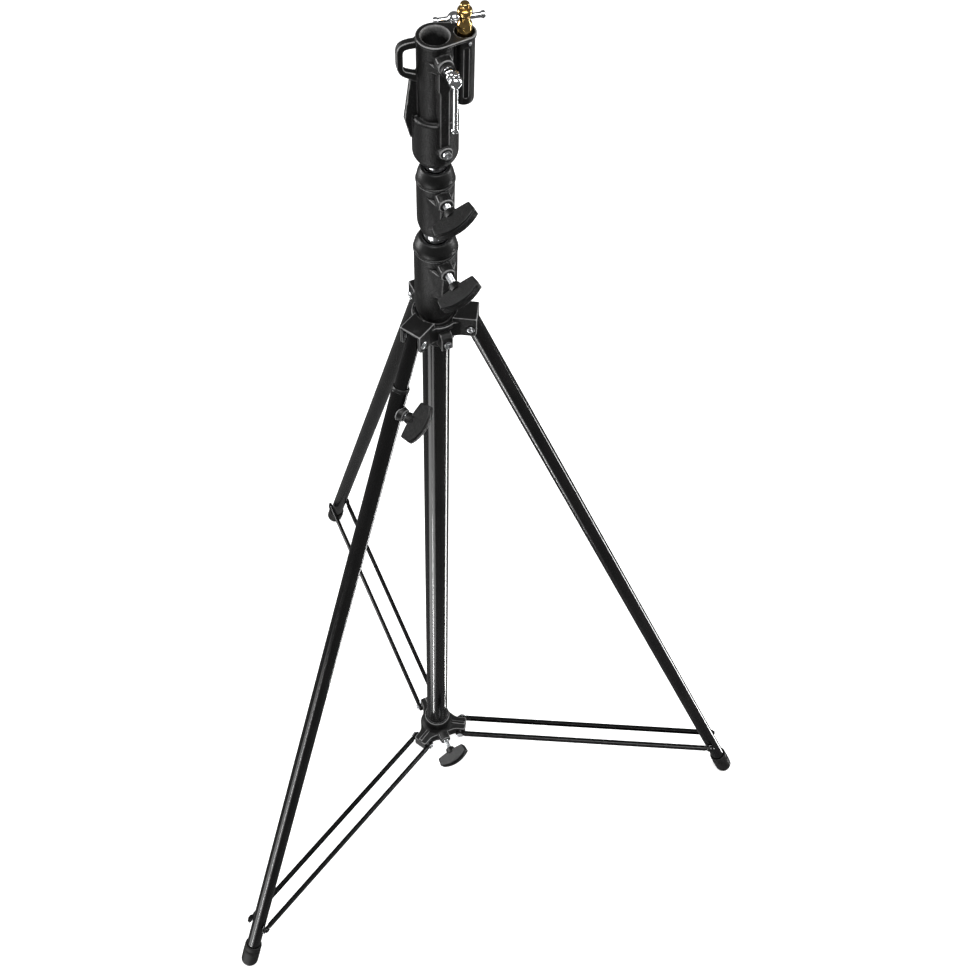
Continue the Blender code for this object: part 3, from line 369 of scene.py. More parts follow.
def casting(name, body, skins, cuts, *nodes):
    """Overlapping closed skins melted into one, softened, then machined by the cuts one after another."""
    obj = solid(name, skins)
    melt = obj.modifiers.new("melt", "REMESH")
    melt.mode, melt.voxel_size = "VOXEL", GRAIN
    soften = obj.modifiers.new("soften", "SMOOTH")
    soften.factor, soften.iterations = 0.5, 1
    tools = [solid("cutter", cut) for cut in cuts]
    for tool in tools:
        step = obj.modifiers.new("machine", "BOOLEAN")
        step.operation, step.solver, step.object = "DIFFERENCE", "EXACT", tool
    mesh = bpy.data.meshes.new_from_object(obj.evaluated_get(bpy.context.evaluated_depsgraph_get()))
    obj.modifiers.clear()
    obj.data = mesh
    for tool in tools:
        bpy.data.objects.remove(tool)
    dressed(obj, body, powder, nodes, 42)


HINGE_Z = hinges["right"][2]
HUB = COLUMN @ moved(z=HINGE_Z)
HUB_BOLT_Z = centre("hub_clamp_bolt")[2] - HINGE_Z
arm = eased([(0.024, -0.0125), (0.0525, -0.0125), (0.0525, 0.0190), (0.024, 0.0190)], [0.002, 0.0080, 0.0025, 0.002], 7)
skins = [
    turned([(0.0245, 0.0110), (0.0245, -0.0270), (0.0235, -0.0280)], HUB, 96),
    turned([(0.0300, 0.0125), (0.0300, 0.0060), (0.0240, -0.0030)], HUB, 96),
]
for degrees in (0, 120, 240):
    place = HUB @ spun(degrees)
    for y in (-1, 1):
        skins.append(slab(arm, 0.0034, place @ moved(y=y * 0.0135) @ UPRIGHT))
        # web that braces the cheek against the ring, its foot spread along the ring
        skins.append(skin([[(0.016, y * 0.012, z), (0.016, y * 0.0205, z), (0.033, y * 0.0150, z), (0.033, y * 0.012, z)]
                           for z in (0.0125, -0.0120)], place))
    skins.append(block((0.010, 0.0525), (-0.0150, 0.0150), (0.0155, 0.0190), place))
    skins.append(block((0.010, 0.0290), (-0.0150, 0.0150), (-0.0120, 0.0190), place))
place = HUB @ spun(-60) @ moved(z=HUB_BOLT_Z)
skins.append(slab(eased([(0.010, -0.0110), (0.0370, -0.0110), (0.0370, 0.0080), (0.0310, 0.0130), (0.010, 0.0130)], 0.002, 4),
                  0.0150, place @ UPRIGHT))
cuts = [[turned([(0.0269, 0.03), (0.0269, 0.0105), (0.0178, 0.0105), (0.0178, -0.04)], HUB, 96)]]
casting("hub_casting", "column", skins, cuts, "leg_hub")

zinc = Finish("bright_zinc", Metallic=1.0)
brushed = zinc.noise(0.0008, 3.0)
zinc.feed(
    Base_Color=zinc.shades(zinc.noise(0.004, 3.0), 0.3, (0.52, 0.53, 0.55), 0.8, (0.80, 0.81, 0.82)),
    Roughness=0.18 + 0.22 * brushed,
).bump(brushed, 0.00003, 0.5)


def headed_pin(grip, place, radius=0.0030, head_r=0.0052, head=0.0021):
    """A shouldered pin along Y whose heads are domed and dimpled where they were spun over."""
    top = grip / 2 + 0.0003
    half = eased([(0.0008, top + head * 0.55), (0.0016, top + head * 0.6), (0.0026, top + head), (head_r * 0.8, top + head * 0.9),
                  (head_r, top + head * 0.45), (head_r, top), (radius, top), (radius, 0.0)], 0.0004, 4, False)
    return turned(np.concatenate([half, (half * (1, -1))[::-1][1:]]), place @ ALONG_Y, 40)


def socket_screw(start, seat, place):
    """A socket-head screw along X. Round the hexagon's hollow the radius is r / cos(t mod 60 - 30 degrees)."""
    top = seat + 0.0042
    t = np.linspace(0, 2 * pi, 48, endpoint=False)
    hexagon = 0.0022 / np.cos(t % (pi / 3) - pi / 6)
    rings = [(hexagon, top - 0.0026), (hexagon, top - 0.0003), (hexagon + 0.0002, top)]
    under = seat + 0.0003
    shell = eased([(0.0036, top), (0.0050, top), (0.0050, under), (0.0028, under), (0.0028, start)], 0.0005, 4, False)
    rings += [(r + 0 * t, h) for r, h in shell]
    return skin([np.stack([r * np.cos(t), r * np.sin(t), h + 0 * t], 1) for r, h in rings], place @ ALONG_X)


for side in LEGS:
    piece(f"{side}_hinge_pin", "column", [headed_pin(0.0300, axes(hinges[side], outwards[side]))], zinc, "zinc",
          f"{side}_hub_pin")
piece("hub_bolt", "column", [socket_screw(COLUMN_R + 0.0003, 0.0370, HUB @ spun(-60) @ moved(z=HUB_BOLT_Z))], zinc, "zinc",
      "hub_clamp_bolt")

# ---------------------------------------------------------------------------------------------
# Spider: a cast collar that slides on the column and carries the braces on three ears. The plate
# between the ears is hollowed, and a boss with spread feet takes the clamp screw.
low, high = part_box("spider")
SPIDER_PIVOT = centre("right_spider_pin")[2]
SPIDER_PIVOT_R = centre("right_spider_pin")[0] - AXIS[0]
SPIDER_KNOB_Z = centre("spider_knob")[2]
spider = COLUMN @ moved(z=SPIDER_PIVOT)


def boss(place, body_r, reach, drop):
    """A clamp screw's boss along X: a wedge spread towards its body, a housing on it and a round nose."""
    root, spread = body_r * 0.42, body_r * 0.90
    wedge = [[(root, -spread, z0), (x, -y, z1), (x, y, z1), (root, spread, z0)]
             for z0, z1, x, y in ((0.0030, -0.0065, reach - 0.0015, 0.0060), (-drop, -drop * 0.93, body_r + 0.0060, 0.0060))]
    housing = slab(eased([(root, -0.0070), (reach - 0.0030, -0.0070), (reach - 0.0030, 0.0060), (root, 0.0085)], 0.0008, 3),
                   0.0165, place @ UPRIGHT)
    nose = turned(eased([(0.003, reach), (0.0088, reach), (0.0092, root)], 0.0012, 4, False), place @ ALONG_X, 40)
    return [skin(wedge, place), housing, nose]


def across(place, radius, start, end):
    """A round cutter along X."""
    return turned([(radius, end), (radius, start)], place @ ALONG_X, 32)


SPIDER_R, CLAMP_HOLE_R = 0.0215, 0.0044
clamps = {"spider": (COLUMN @ moved(z=SPIDER_KNOB_Z) @ spun(-60), 0.0400, COLUMN_R)}  # place, reach, tube it presses on
clamp, reach, _ = clamps["spider"]
star = []
for degrees in (0, 120, 240):
    c, s = cos(radians(degrees)), sin(radians(degrees))
    star += [(r * c - t * s, r * s + t * c) for r, t in ((0.024, -0.0170), (0.033, -0.0119), (0.0505, -0.0119),
                                                       (0.0505, 0.0119), (0.033, 0.0119), (0.024, 0.0170))]
skins = [
    turned([(SPIDER_R - 0.0005, high.z - SPIDER_PIVOT), (SPIDER_R, high.z - SPIDER_PIVOT - 0.001),
            (SPIDER_R, low.z - SPIDER_PIVOT)], spider, 96),
    turned([(SPIDER_R, 0.0160), (0.0290, 0.0070), (0.0290, -0.0090)], spider, 96),
    slab(eased(star, 0.004, 5), 0.0200, spider),
    *boss(clamp, SPIDER_R, reach, 0.0180),
]
for degrees in (0, 120, 240):  # a raised rib along each ear
    skins.append(block((0.020, 0.0490), (-0.0030, 0.0030), (0.008, 0.0125), spider @ spun(degrees)))
cuts = [[turned([(COLUMN_R + 0.0004, 0.04), (COLUMN_R + 0.0004, -0.03)], spider, 96)],
        [across(clamp, CLAMP_HOLE_R, 0.010, 0.050)]]
casting("spider_casting", "spider", skins, cuts, "spider")

# ---------------------------------------------------------------------------------------------
# Braces: pairs of small enamelled channels, folded from strip with their hollow side inwards and
# pinned to the spider's ears. Each ends in a flattened tongue with a rivet through it.
BRACE_T, BRACE_H = 0.0060, 0.0100
for side in LEGS:
    run = pivots[side] - AXIS - outwards[side] * SPIDER_PIVOT_R - (0, 0, SPIDER_PIVOT)
    length = np.linalg.norm(run)
    hinge = axes(AXIS + outwards[side] * SPIDER_PIVOT_R + (0, 0, SPIDER_PIVOT), run, np.cross(run, np.cross((0, 0, 1), run)))
    for letter, way in (("a", -1), ("b", 1)):
        half, out, back, wall = BRACE_H / 2, BRACE_T / 2, -BRACE_T / 2, 0.0013
        section = eased([(out, half), (out, -half), (back, -half), (back, -half + wall), (out - wall, -half + wall),
                         (out - wall, half - wall), (back, half - wall), (back, half)],
                        [0.0016, 0.0016, 0.0003, 0.0003, 0.0006, 0.0006, 0.0003, 0.0003], 4)
        bar = hinge @ moved(y=way * 0.0155)
        channel = [np.column_stack([0 * section[:, 0] + x, way * section[:, 0], section[:, 1]])
                   for x in (0.0075, length - 0.0075)]
        tongue = eased([(-0.0078, -half + 0.0004), (0.0160, -half + 0.0004), (0.0160, half - 0.0004), (-0.0078, half - 0.0004)],
                       [0.0046, 0.0004, 0.0004, 0.0046], 8)
        far = tongue * (-1, -1) + (length, 0)
        rivet = turned(eased([(0.0008, 0.0048), (0.0030, 0.0048), (0.0050, 0.0036), (0.0052, 0.0010)], 0.0008, 4, False),
                       bar @ moved(x=length) @ (ALONG_Y if way > 0 else axes(x=(0, 0, 1), z=(0, -1, 0))), 32)
        piece(f"{side}_brace_{letter}_bar", f"{side}_braces",
              [skin(channel, bar), slab(tongue, 0.0046, bar @ UPRIGHT, 0.0008), slab(far, 0.0046, bar @ UPRIGHT, 0.0008), rivet],
              enamel, "gloss_black", f"{side}_brace_{letter}")
    piece(f"{side}_ear_pin", "spider", [headed_pin(0.0370, hinge)], zinc, "zinc", f"{side}_spider_pin")
    pin = eased([(0.002, 0.0112), (0.0030, 0.0112), (0.0030, -0.0112), (0.002, -0.0112)], 0.0004, 3, False)
    piece(f"{side}_foot_pin", LEGS[side], [turned(pin, axes(pivots[side], outwards[side]) @ ALONG_Y, 32)], zinc, "zinc",
          f"{side}_leg_pin")

# ---------------------------------------------------------------------------------------------
# Clamp collars: castings fixed on one tube that guide and pinch the next. The screw's boss has a
# long wedge below it, and a smooth moulded cap ring closes the top over a bright-edged groove.
RISER_2_R, RISER_1_R = 0.0150, 0.0125
KNOB_BELOW_TOP, BOSS_PROUD, COLLAR_LIP = 0.031, 0.0130, 0.009
for name, radius, lower_r, upper_r, azimuth, body in (
    ("lower", 0.0261, COLUMN_R, RISER_2_R, -60, "column"),
    ("upper", 0.0221, RISER_2_R, RISER_1_R, -62, "riser_2"),
):
    low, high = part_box(f"{name}_collar")
    bottom, top = low.z, high.z
    groove = top - 0.0205
    clamp, reach = COLUMN @ moved(z=top - KNOB_BELOW_TOP) @ spun(azimuth), radius + BOSS_PROUD
    clamps[name] = (clamp, reach, upper_r)
    shell = eased([(0.010, groove), (radius, groove), (radius - 0.0003, bottom + 0.014), (lower_r + 0.0028, bottom),
                   (0.010, bottom)], [0, 0.0004, 0.005, 0.001, 0], 5, False)
    skins = [turned(shell, COLUMN, 96), *boss(clamp, radius, reach, min(0.050, top - KNOB_BELOW_TOP - bottom - 0.017))]
    mouth, pocket = upper_r + 0.0007, lower_r + 0.0003
    bore = [(mouth, top), (mouth, top - COLLAR_LIP), (pocket, top - COLLAR_LIP), (pocket, bottom - 0.001)]
    cuts = [[turned(bore, COLUMN, 96)], [across(clamp, CLAMP_HOLE_R, 0.010, reach + 0.01)]]
    casting(f"{name}_collar_casting", body, skins, cuts, f"{name}_collar")
    cap = eased([(mouth + 0.0001, top - COLLAR_LIP), (mouth + 0.0001, top - 0.0002), (upper_r + 0.0050, top),
                 (radius - 0.0006, top - 0.0105), (radius - 0.0006, groove + 0.0030), (radius + 0.0008, groove + 0.0024),
                 (radius + 0.0008, groove + 0.0006), (pocket + 0.0002, groove + 0.0004), (pocket + 0.0002, top - COLLAR_LIP)],
                [0.0002, 0.0008, 0.0030, 0.0070, 0.0006, 0.0005, 0.0004, 0.0003, 0.0003], 8)
    piece(f"{name}_collar_cap", body, [turned(cap, COLUMN, 96, True)], plastic, "black_plastic")

# ---------------------------------------------------------------------------------------------
# Risers: two chromed steel tubes, one in the other, that slide out of the collars.
RISER_WALL = 0.0015
chrome = Finish("polished_chrome", Metallic=1.0)
wiped = chrome.noise(0.010, 4.0, (1, 1, 0.2))
chrome.feed(
    Base_Color=chrome.shades(wiped, 0.3, (0.66, 0.67, 0.69), 0.8, (0.82, 0.83, 0.84)),
    Roughness=0.05 + 0.10 * wiped,
)
for name, radius, body in (("riser_2", RISER_2_R, "riser_2"), ("riser_1", RISER_1_R, "head")):
    low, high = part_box(f"{name}_tube")
    piece(f"{name}_pipe", body, [pipe(radius, RISER_WALL, low.z, high.z, COLUMN)], chrome, "chrome", f"{name}_tube")

# ---------------------------------------------------------------------------------------------
# Clamp knobs: moulded T-shaped grips with a finely grained side, a bulging outer face and a round
# hub, each fast on the end of a zinc-plated screw.
knob_plastic = Finish("grained_knob_plastic", Specular_IOR_Level=0.35)
grain = knob_plastic.noise(0.0014, 2.5)
knob_plastic.feed(
    Base_Color=knob_plastic.shades(
        0.5 * knob_plastic.noise(0.006, 3.0) + 0.5 * grain, 0.35, (0.002, 0.002, 0.002), 0.75, (0.010, 0.010, 0.010)
    ),
    Roughness=0.26 + 0.22 * grain,
).bump(grain, 0.00045, 1.0)


def threaded(radius, pitch, start, end, place, depth=0.0005, tip=()):
    """A thread along X: the radius drops by depth |2 frac(h / pitch - t / 2 pi) - 1| round the turn t at the height h."""
    h = np.arange(start, end, pitch / 6)
    t = np.linspace(0, 2 * pi, 40, endpoint=False)
    groove = np.abs(2 * np.mod(h[:, None] / pitch - t / (2 * pi), 1) - 1)
    fade = np.clip(np.minimum(h - start, end - h) / pitch, 0, 1)[:, None]
    r = radius - depth * groove * fade
    rings = np.stack([r * np.cos(t), r * np.sin(t), h[:, None] + 0 * t], -1)
    return skin(rings, place @ ALONG_X)


def knob(name, body, place, turn, face, screw_from):
    """A grip whose outer face is an arc over its length; the screw runs in from its hub along X."""
    grip = place @ tipped(turn)
    half, deep, crown = 0.0265, 0.0140, 0.0080
    radius = (half**2 + crown**2) / (2 * crown)
    a = np.linspace(-1, 1, 21) * np.arcsin(half / radius)
    arc = np.column_stack([face + deep + crown - radius + radius * np.cos(a), radius * np.sin(a)])
    ends = eased([(face + deep, half), (face + 0.0008, half * 0.96), (face - 0.0010, 0.010), (face - 0.0010, -0.010),
                  (face + 0.0008, -half * 0.96), (face + deep, -half)], [0.001, 0.0022, 0.006, 0.006, 0.0022, 0.001], 5, False)
    outline = np.concatenate([arc[1:-1], ends])
    shell = slab(outline, 0.0130, grip, 0.0013, 5)
    inset = np.column_stack([face + deep + crown + 0.0010 - radius + radius * np.cos(a * 0.90), radius * np.sin(a * 0.90)])
    panel = np.concatenate([inset, [(face + deep - 0.004, half * 0.90), (face + deep - 0.004, -half * 0.90)]])
    neck = eased([(0.004, face - 0.0070), (0.0074, face - 0.0070), (0.0082, face - 0.0010), (0.0082, face + 0.003)],
                 0.0008, 4, False)
    hub = turned(neck, place @ ALONG_X, 48)
    piece(f"{name}_grip", body, [shell, slab(panel, 0.0086, grip, 0.0008), hub], knob_plastic, "black_plastic", f"{name}_knob")
    screw = threaded(0.0040, 0.00125, screw_from, face - 0.0071, place)
    piece(f"{name}_clamp_screw", body, [screw], zinc, "zinc", f"{name}_screw")


for name, standoff in (("lower", 0.023), ("upper", 0.016), ("spider", 0.023)):
    clamp, reach, tube_r = clamps[name]
    knob(name, f"{name}_knob", clamp, 29, reach + standoff, tube_r + 0.0037)

clamp = legs["levelling"] @ moved(z=-0.107) @ spun(90)
reach = LEG_R + 0.0060
flare = eased([(0.003, reach), (0.0086, reach), (0.0090, LEG_R + 0.003), (0.0110, 0.0075), (0.003, 0.0075)], 0.0015, 5, False)
casting("levelling_boss_casting", "levelling_outer", [turned(flare, clamp @ ALONG_X, 64)],
        [[turned([(LEG_R + 0.0002, 0.03), (LEG_R + 0.0002, -0.03)], clamp, 72)], [across(clamp, CLAMP_HOLE_R, 0.002, 0.020)]],
        "levelling_clamp_boss")
knob("levelling", "levelling_knob", clamp, 54, reach + 0.0095, LEG_R + 0.0002)

# ---------------------------------------------------------------------------------------------
# Head: one casting with a 28 mm junior socket, a slotted sleeve for the stud beside it, a cable
# loop with a fin on the other side, and a skirt that is pinched on the top riser.
low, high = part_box("head_casting")
HEAD_H = high.z - low.z
head = COLUMN @ moved(z=low.z) @ spun(20)
SOCKET_R, SOCKET_OUTER, SLEEVE_X, SLEEVE_R, SKIRT_R = 0.0143, 0.0202, 0.0310, 0.0113, 0.0258
socket_clamp = head @ moved(z=HEAD_H - 0.019) @ spun(-80)
pinch = head @ moved(z=0.034) @ spun(-80)
sleeve = head @ moved(SLEEVE_X, 0, HEAD_H)
stud_clamp = sleeve @ moved(z=-0.021) @ spun(90)


def hull(r0, r1, apart, steps=24):
    """The outline round two circles on X: arcs r0 and r1 about their middles, meeting where acos((r0 - r1) / apart) says."""
    t = np.arccos((r0 - r1) / apart)
    a, b = np.linspace(t, 2 * pi - t, steps), np.linspace(-t, t, steps)
    return np.concatenate([np.column_stack([r0 * np.cos(a), r0 * np.sin(a)]),
                           np.column_stack([apart + r1 * np.cos(b), r1 * np.sin(b)])])


def around(outer, inner, thickness, place):
    """A frame: an outer and an inner outline of as many points, thick along Z, stitched into a closed ring."""
    h = np.full((len(outer), 1), thickness / 2)
    rings = [np.hstack([o, z]) for o, z in ((outer, h), (outer, -h), (inner, -h), (inner, h))]
    return skin(rings, place, True)


loop_outer = eased([(-0.0100, HEAD_H - 0.0005), (-0.0415, HEAD_H - 0.0030), (-0.0415, HEAD_H - 0.0430),
                    (-0.0100, HEAD_H - 0.0600)], [0.001, 0.0125, 0.0120, 0.001], 8)
loop_inner = eased([(-0.0160, HEAD_H - 0.0100), (-0.0345, HEAD_H - 0.0112), (-0.0345, HEAD_H - 0.0385),
                    (-0.0160, HEAD_H - 0.0460)], [0.001, 0.0050, 0.0050, 0.001], 8)
fin = [(-0.010, HEAD_H - 0.040), (-0.0275, HEAD_H - 0.050), (-0.0345, HEAD_H - 0.106), (-0.0285, HEAD_H - 0.132),
       (-0.010, HEAD_H - 0.135)]
skirt = eased([(0.010, 0.0705), (SOCKET_OUTER, 0.0705), (SKIRT_R - 0.0010, 0.0700), (SKIRT_R, 0.0680), (SKIRT_R, 0.0130),
               (0.0215, 0.0050), (0.0162, 0.0002), (0.010, 0.0002)], [0, 0, 0.001, 0.001, 0.004, 0.004, 0.001, 0], 5, False)
cone = SLEEVE_R + 0.0016
skins = [
    turned([(SOCKET_OUTER, HEAD_H - 0.001), (SOCKET_OUTER - 0.0002, 0.060)], head, 96),
    turned([(SOCKET_OUTER + 0.0006, HEAD_H - 0.0002), (SOCKET_OUTER + 0.0006, HEAD_H - 0.0036)], head, 96),
    turned(skirt, head, 96),
    slab(hull(SOCKET_OUTER + 0.0006, cone, SLEEVE_X), 0.0036, head @ moved(z=HEAD_H - 0.0018)),
    turned(eased([(0.003, -0.0005), (SLEEVE_R, -0.0005), (SLEEVE_R, -0.092), (0.003, -0.092)], 0.0055, 6, False), sleeve, 64),
    turned([(cone, -0.0002), (cone, -0.0036), (SLEEVE_R, -0.0075)], sleeve, 64),
    block((0.010, SLEEVE_X), (-0.0062, 0.0062), (HEAD_H - 0.085, HEAD_H - 0.002), head),
    around(loop_outer, loop_inner, 0.0080, head @ UPRIGHT),
    slab(fin[::-1], 0.0060, head @ UPRIGHT),
    block((0.010, SKIRT_R + 0.0018), (-0.0052, 0.0052), (0.006, HEAD_H - 0.034 - 0.019), pinch),
    turned(eased([(0.003, SKIRT_R + 0.0055), (0.0078, SKIRT_R + 0.0055), (0.0082, 0.018), (0.003, 0.018)], 0.0014, 4, False),
           pinch @ ALONG_X, 40),
    turned(eased([(0.003, SLEEVE_R + 0.0070), (0.0070, SLEEVE_R + 0.0070), (0.0074, 0.008), (0.003, 0.008)], 0.0014, 4, False),
           stud_clamp @ ALONG_X, 40),
    *boss(socket_clamp, SOCKET_OUTER, 0.0300, 0.0130),
    block((0.010, 0.0275), (-0.0070, 0.0070), (-0.0340, 0.0), socket_clamp),
]
cuts = [
    [turned([(SOCKET_R + 0.0024, 0.001), (SOCKET_R + 0.0018, 0.0), (SOCKET_R, -0.0020), (SOCKET_R, -0.090)],
            head @ moved(z=HEAD_H), 96),
     turned([(0.0128, 0.0683), (0.0128, -0.001)], head, 96),
     turned([(SLEEVE_R - 0.0002, 0.001), (SLEEVE_R - 0.0004, -0.0006), (0.0083, -0.0065), (0.0083, -0.088)], sleeve, 64)],
    [slab(eased([(-0.0027, -0.0810), (0.0027, -0.0810), (0.0027, -0.0130), (-0.0027, -0.0130)], 0.00265, 8), 0.0113,
          sleeve @ moved(y=-0.0093 - 0.00565) @ UPRIGHT)],
    [across(socket_clamp, 0.0050, 0.0080, 0.040), across(stud_clamp, 0.0050, 0.0040, 0.022),
     across(pinch, 0.0034, 0.0063, 0.040)],
]
casting("head_body", "head", skins, cuts, "head_casting")
piece("head_pinch_bolt", "head", [socket_screw(0.0128, SKIRT_R + 0.0055, pinch)], zinc, "zinc", "head_clamp_bolt")
marker = eased([(0.0004, SLEEVE_R + 0.0014), (0.0014, SLEEVE_R + 0.0013), (0.0020, SLEEVE_R + 0.0006),
                (0.0020, SLEEVE_R - 0.0012)], 0.0004, 4, False)
piece("sleeve_rivet", "head", [turned(marker, sleeve @ moved(z=-0.0085) @ spun(-72) @ ALONG_X, 24)], zinc, "zinc")

# ---------------------------------------------------------------------------------------------
# Stud: a turned 16 mm brass spigot that rides up and down in the sleeve, with a waist, a shouldered
# head and a small nose. It is held by a lock behind it; a pin in the sleeve's slot keeps it in.
brass = Finish("turned_brass", Metallic=1.0)
lathe = brass.noise(0.0007, 2.0, (0.05, 0.05, 1))
tarnish = brass.noise(0.006, 4.0)
brass.feed(
    Base_Color=brass.shades(tarnish, 0.3, (0.60, 0.36, 0.10), 0.75, (0.86, 0.60, 0.24)),
    Roughness=0.10 + 0.16 * tarnish,
).bump(lathe, 0.00004, 0.5)
profile = eased([(0.002, 0.0360), (0.0042, 0.0360), (0.0049, 0.0345), (0.0049, 0.0305), (0.0040, 0.0298), (0.0072, 0.0290),
                 (0.0080, 0.0275), (0.0080, 0.0228), (0.0058, 0.0205), (0.0058, 0.0150), (0.0080, 0.0105), (0.0080, -0.0850),
                 (0.0068, -0.0860), (0.002, -0.0860)], 0.0010, 5, False)
piece("brass_stud", "stud", [turned(profile, sleeve, 64)], brass, "brass", "stud", "stud_guide_pin")

# ---------------------------------------------------------------------------------------------
# Locks: chromed screws with a ball end that a sliding tommy bar runs through. The bar's ends are
# upset so that it can't fall out. The socket's lock has a black washer behind its threads.
satin = Finish("satin_chrome", Metallic=1.0)
smear = satin.noise(0.003, 3.0)
satin.feed(
    Base_Color=satin.shades(smear, 0.3, (0.66, 0.67, 0.68), 0.8, (0.86, 0.87, 0.88)),
    Roughness=0.10 + 0.14 * smear,
).bump(smear, 0.00003, 0.4)


def lock(name, place, start, neck, reach, bar):
    """A lock screw along X: neck, threads, a round collar and a ball with the bar's cross hole."""
    ball = [(0.0075 * sin(a), reach + 0.0075 * cos(a)) for a in np.linspace(0.15, 2.35, 18)]
    stem = eased([*ball[-1:], (0.0062, reach - 0.0062), (0.0066, reach - 0.0075), (0.0066, reach - 0.0098),
                  (0.0045, reach - 0.0104), (0.0045, reach - 0.0120)], 0.0005, 4, False)
    end = turned(np.concatenate([ball[:-1], stem]), place @ ALONG_X, 48)
    shank = turned(eased([(0.003, neck + 0.0085), (0.0045, neck + 0.0085), (0.0045, neck + 0.0046), (0.0060, neck + 0.0042),
                          (0.0060, neck), (0.0045, neck - 0.001), (0.0045, start + 0.001), (0.0035, start)], 0.0005, 4, False),
                   place @ ALONG_X, 48)
    screw = threaded(0.0046, 0.0022, neck + 0.0080, reach - 0.0110, place, 0.0009)
    obj = solid(f"{name}_lock", [end, shank, screw])
    drill = solid("drill", [turned([(0.0035, 0.012), (0.0035, -0.012)], bar, 32)])
    hole = obj.modifiers.new("cross_hole", "BOOLEAN")
    hole.operation, hole.solver, hole.object, hole.use_self = "DIFFERENCE", "EXACT", drill, True
    mesh = bpy.data.meshes.new_from_object(obj.evaluated_get(bpy.context.evaluated_depsgraph_get()))
    obj.modifiers.clear()
    obj.data = mesh
    bpy.data.objects.remove(drill)
    dressed(obj, f"{name}_lock", satin, [f"{name}_lock_screw"], 35)


def tommy_bar(name, length, place):
    """A bar along Z with rounded, upset ends."""
    half = length / 2
    end = eased([(0.0010, half), (0.0036, half), (0.0043, half - 0.0012), (0.0043, half - 0.0036), (0.0032, half - 0.0046),
                 (0.0032, 0.0)], 0.0009, 5, False)
    piece(f"{name}_tommy_bar", f"{name}_lock_bar", [turned(np.concatenate([end, (end * (1, -1))[::-1][1:]]), place, 40)], satin,
          "chrome", f"{name}_lock_bar")


socket_bar = socket_clamp @ moved(x=0.053)
lock("socket", socket_clamp, SOCKET_R + 0.0005, 0.0305, 0.053, socket_bar)
tommy_bar("socket", 0.080, socket_bar @ moved(z=0.0120 - 0.040))
washer = eased([(0.0064, 0.0362), (0.0078, 0.0362), (0.0080, 0.0345), (0.0074, 0.0310), (0.0064, 0.0310)], 0.0006, 4)
piece("socket_lock_washer", "socket_lock", [turned(washer, socket_clamp @ ALONG_X, 48, True)], plastic, "black_plastic")
stud_bar = stud_clamp @ moved(x=0.046) @ axes(x=(1, 0, 0), z=(0, -1, 0))
lock("stud", stud_clamp, 0.0085, 0.0190, 0.046, stud_bar)
tommy_bar("stud", 0.056, stud_bar @ moved(z=0.0056))

# ---------------------------------------------------------------------------------------------
# Hidden fittings: the liners and guide bushes are natural nylon and the pads under the clamp screws
# brass. Their CAD shapes are kept.
nylon = Finish("natural_nylon", Specular_IOR_Level=0.4)
cloud = nylon.noise(0.006, 3.0)
nylon.feed(Base_Color=nylon.shades(cloud, 0.3, (0.16, 0.15, 0.13), 0.8, (0.24, 0.23, 0.20)), Roughness=0.45 + 0.2 * cloud)
for finish, names in (
    (nylon, ("lower_collar_liner", "upper_collar_liner", "riser_2_guide", "riser_1_guide")),
    (brass, ("lower_pad", "upper_pad", "spider_pad", "levelling_pad")),
):
    for node in names:
        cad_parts[node].data.materials.clear()
        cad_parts[node].data.materials.append(finish.material)

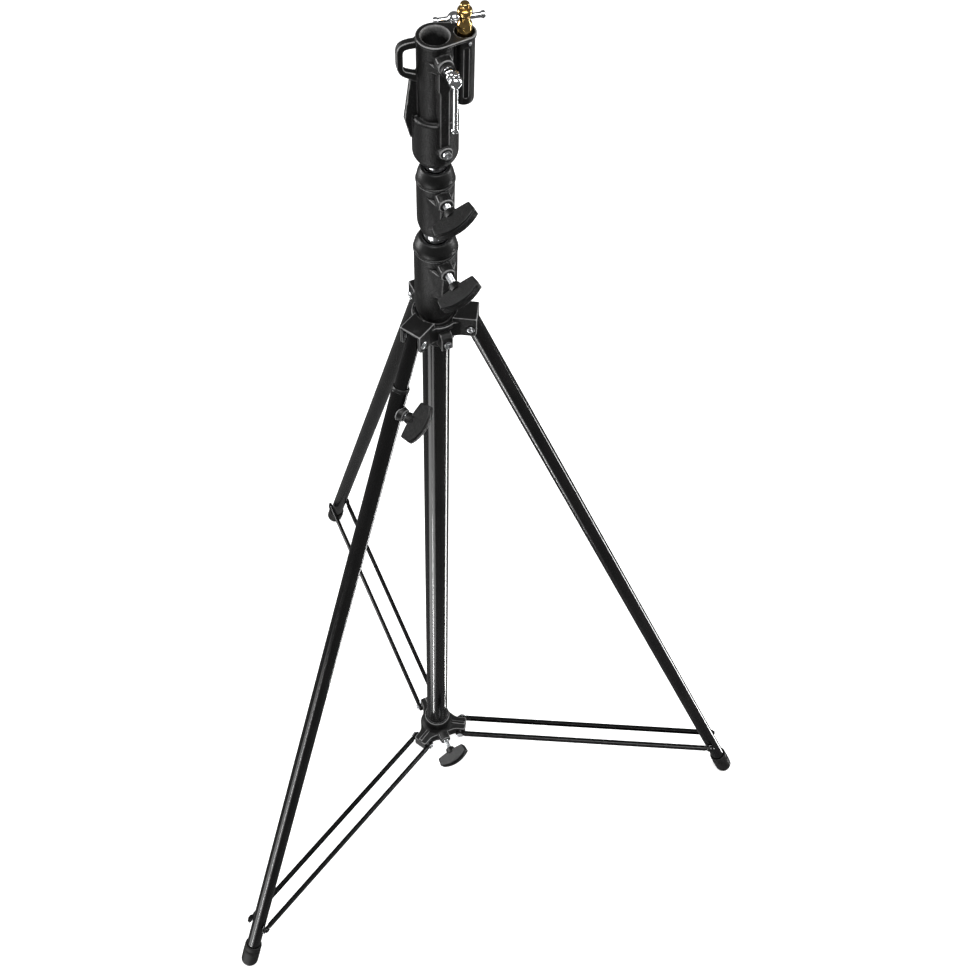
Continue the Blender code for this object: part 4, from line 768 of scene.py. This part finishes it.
# ---------------------------------------------------------------------------------------------
# Studio: a softly glowing pale floor, a dim even surround, soft lights to the left, right and above,
# three more below the floor's level for the long highlights on upright tubes, and the camera.
paper = Finish("pale_floor", Specular_IOR_Level=0.1, Emission_Strength=0.7)
fibre = paper.noise(0.6, 2.0)
paper.feed(
    Base_Color=paper.shades(fibre, 0.3, (0.90, 0.90, 0.90), 0.7, (0.93, 0.93, 0.93)),
    Roughness=0.9 + 0.05 * fibre,
    Emission_Color=paper.shades(fibre, 0.3, (0.97, 0.97, 0.97), 0.7, (1, 1, 1)),
)
mesh = bpy.data.meshes.new("floor")
mesh.from_pydata([(-9, -9, 0), (9, -9, 0), (9, 9, 0), (-9, 9, 0)], [], [(0, 1, 2, 3)])
mesh.materials.append(paper.material)
floor = bpy.data.objects.new("floor", mesh)
bpy.context.scene.collection.objects.link(floor)
floor.visible_glossy = False  # the black tubes mirror the dark studio and its lights, not the floor

world = bpy.data.worlds.new("surround")
world.use_nodes = True
world.node_tree.nodes["Background"].inputs["Color"].default_value = (1, 1, 1, 1)
world.node_tree.nodes["Background"].inputs["Strength"].default_value = 0.12
bpy.context.scene.world = world


def softbox(name, at, towards, width, height, power):
    """A rectangular area light facing a point."""
    light = bpy.data.lights.new(name, "AREA")
    light.shape, light.size, light.size_y, light.energy = "RECTANGLE", width, height, power
    obj = bpy.data.objects.new(name, light)
    bpy.context.scene.collection.objects.link(obj)
    back = np.subtract(at, towards)
    obj.matrix_world = Matrix(axes(at, np.cross((0, 0, 1), back), back).tolist())


softbox("left_softbox", (-2.9, 0.2, 1.6), (-0.1, 0, 1.2), 0.8, 2.4, 80)
softbox("right_strip", (2.2, 0.8, 1.8), (-0.1, 0, 0.9), 0.35, 2.4, 45)
softbox("overhead", (0.2, -1.0, 4.4), (-0.1, 0, 0), 2.4, 2.0, 120)
# lights below the floor's level, whose mirror images run down the upright tubes: one broad, two narrow
softbox("low_left", (-1.6, -1.9, -1.6), (-0.1, 0, 0.8), 2.0, 2.8, 38)
softbox("low_front", (-1.35, -2.0, -1.6), (-0.1, 0, 0.8), 0.08, 2.8, 22)
softbox("low_right", (2.1, 0.9, -1.6), (-0.1, 0, 0.8), 0.25, 2.8, 40)

lens = bpy.data.cameras.new("camera")
lens.lens, lens.sensor_width, lens.clip_start = 62.30, 36, 0.05
camera = bpy.data.objects.new("camera", lens)
camera.matrix_world = Matrix((axes((0.0437, -1.3497, 2.7279)) @ spun(4.35) @ tipped(35.03) @ spun(2.18)).tolist())
bpy.context.scene.collection.objects.link(camera)
bpy.context.scene.camera = camera
bpy.context.scene.view_settings.view_transform = "Standard"
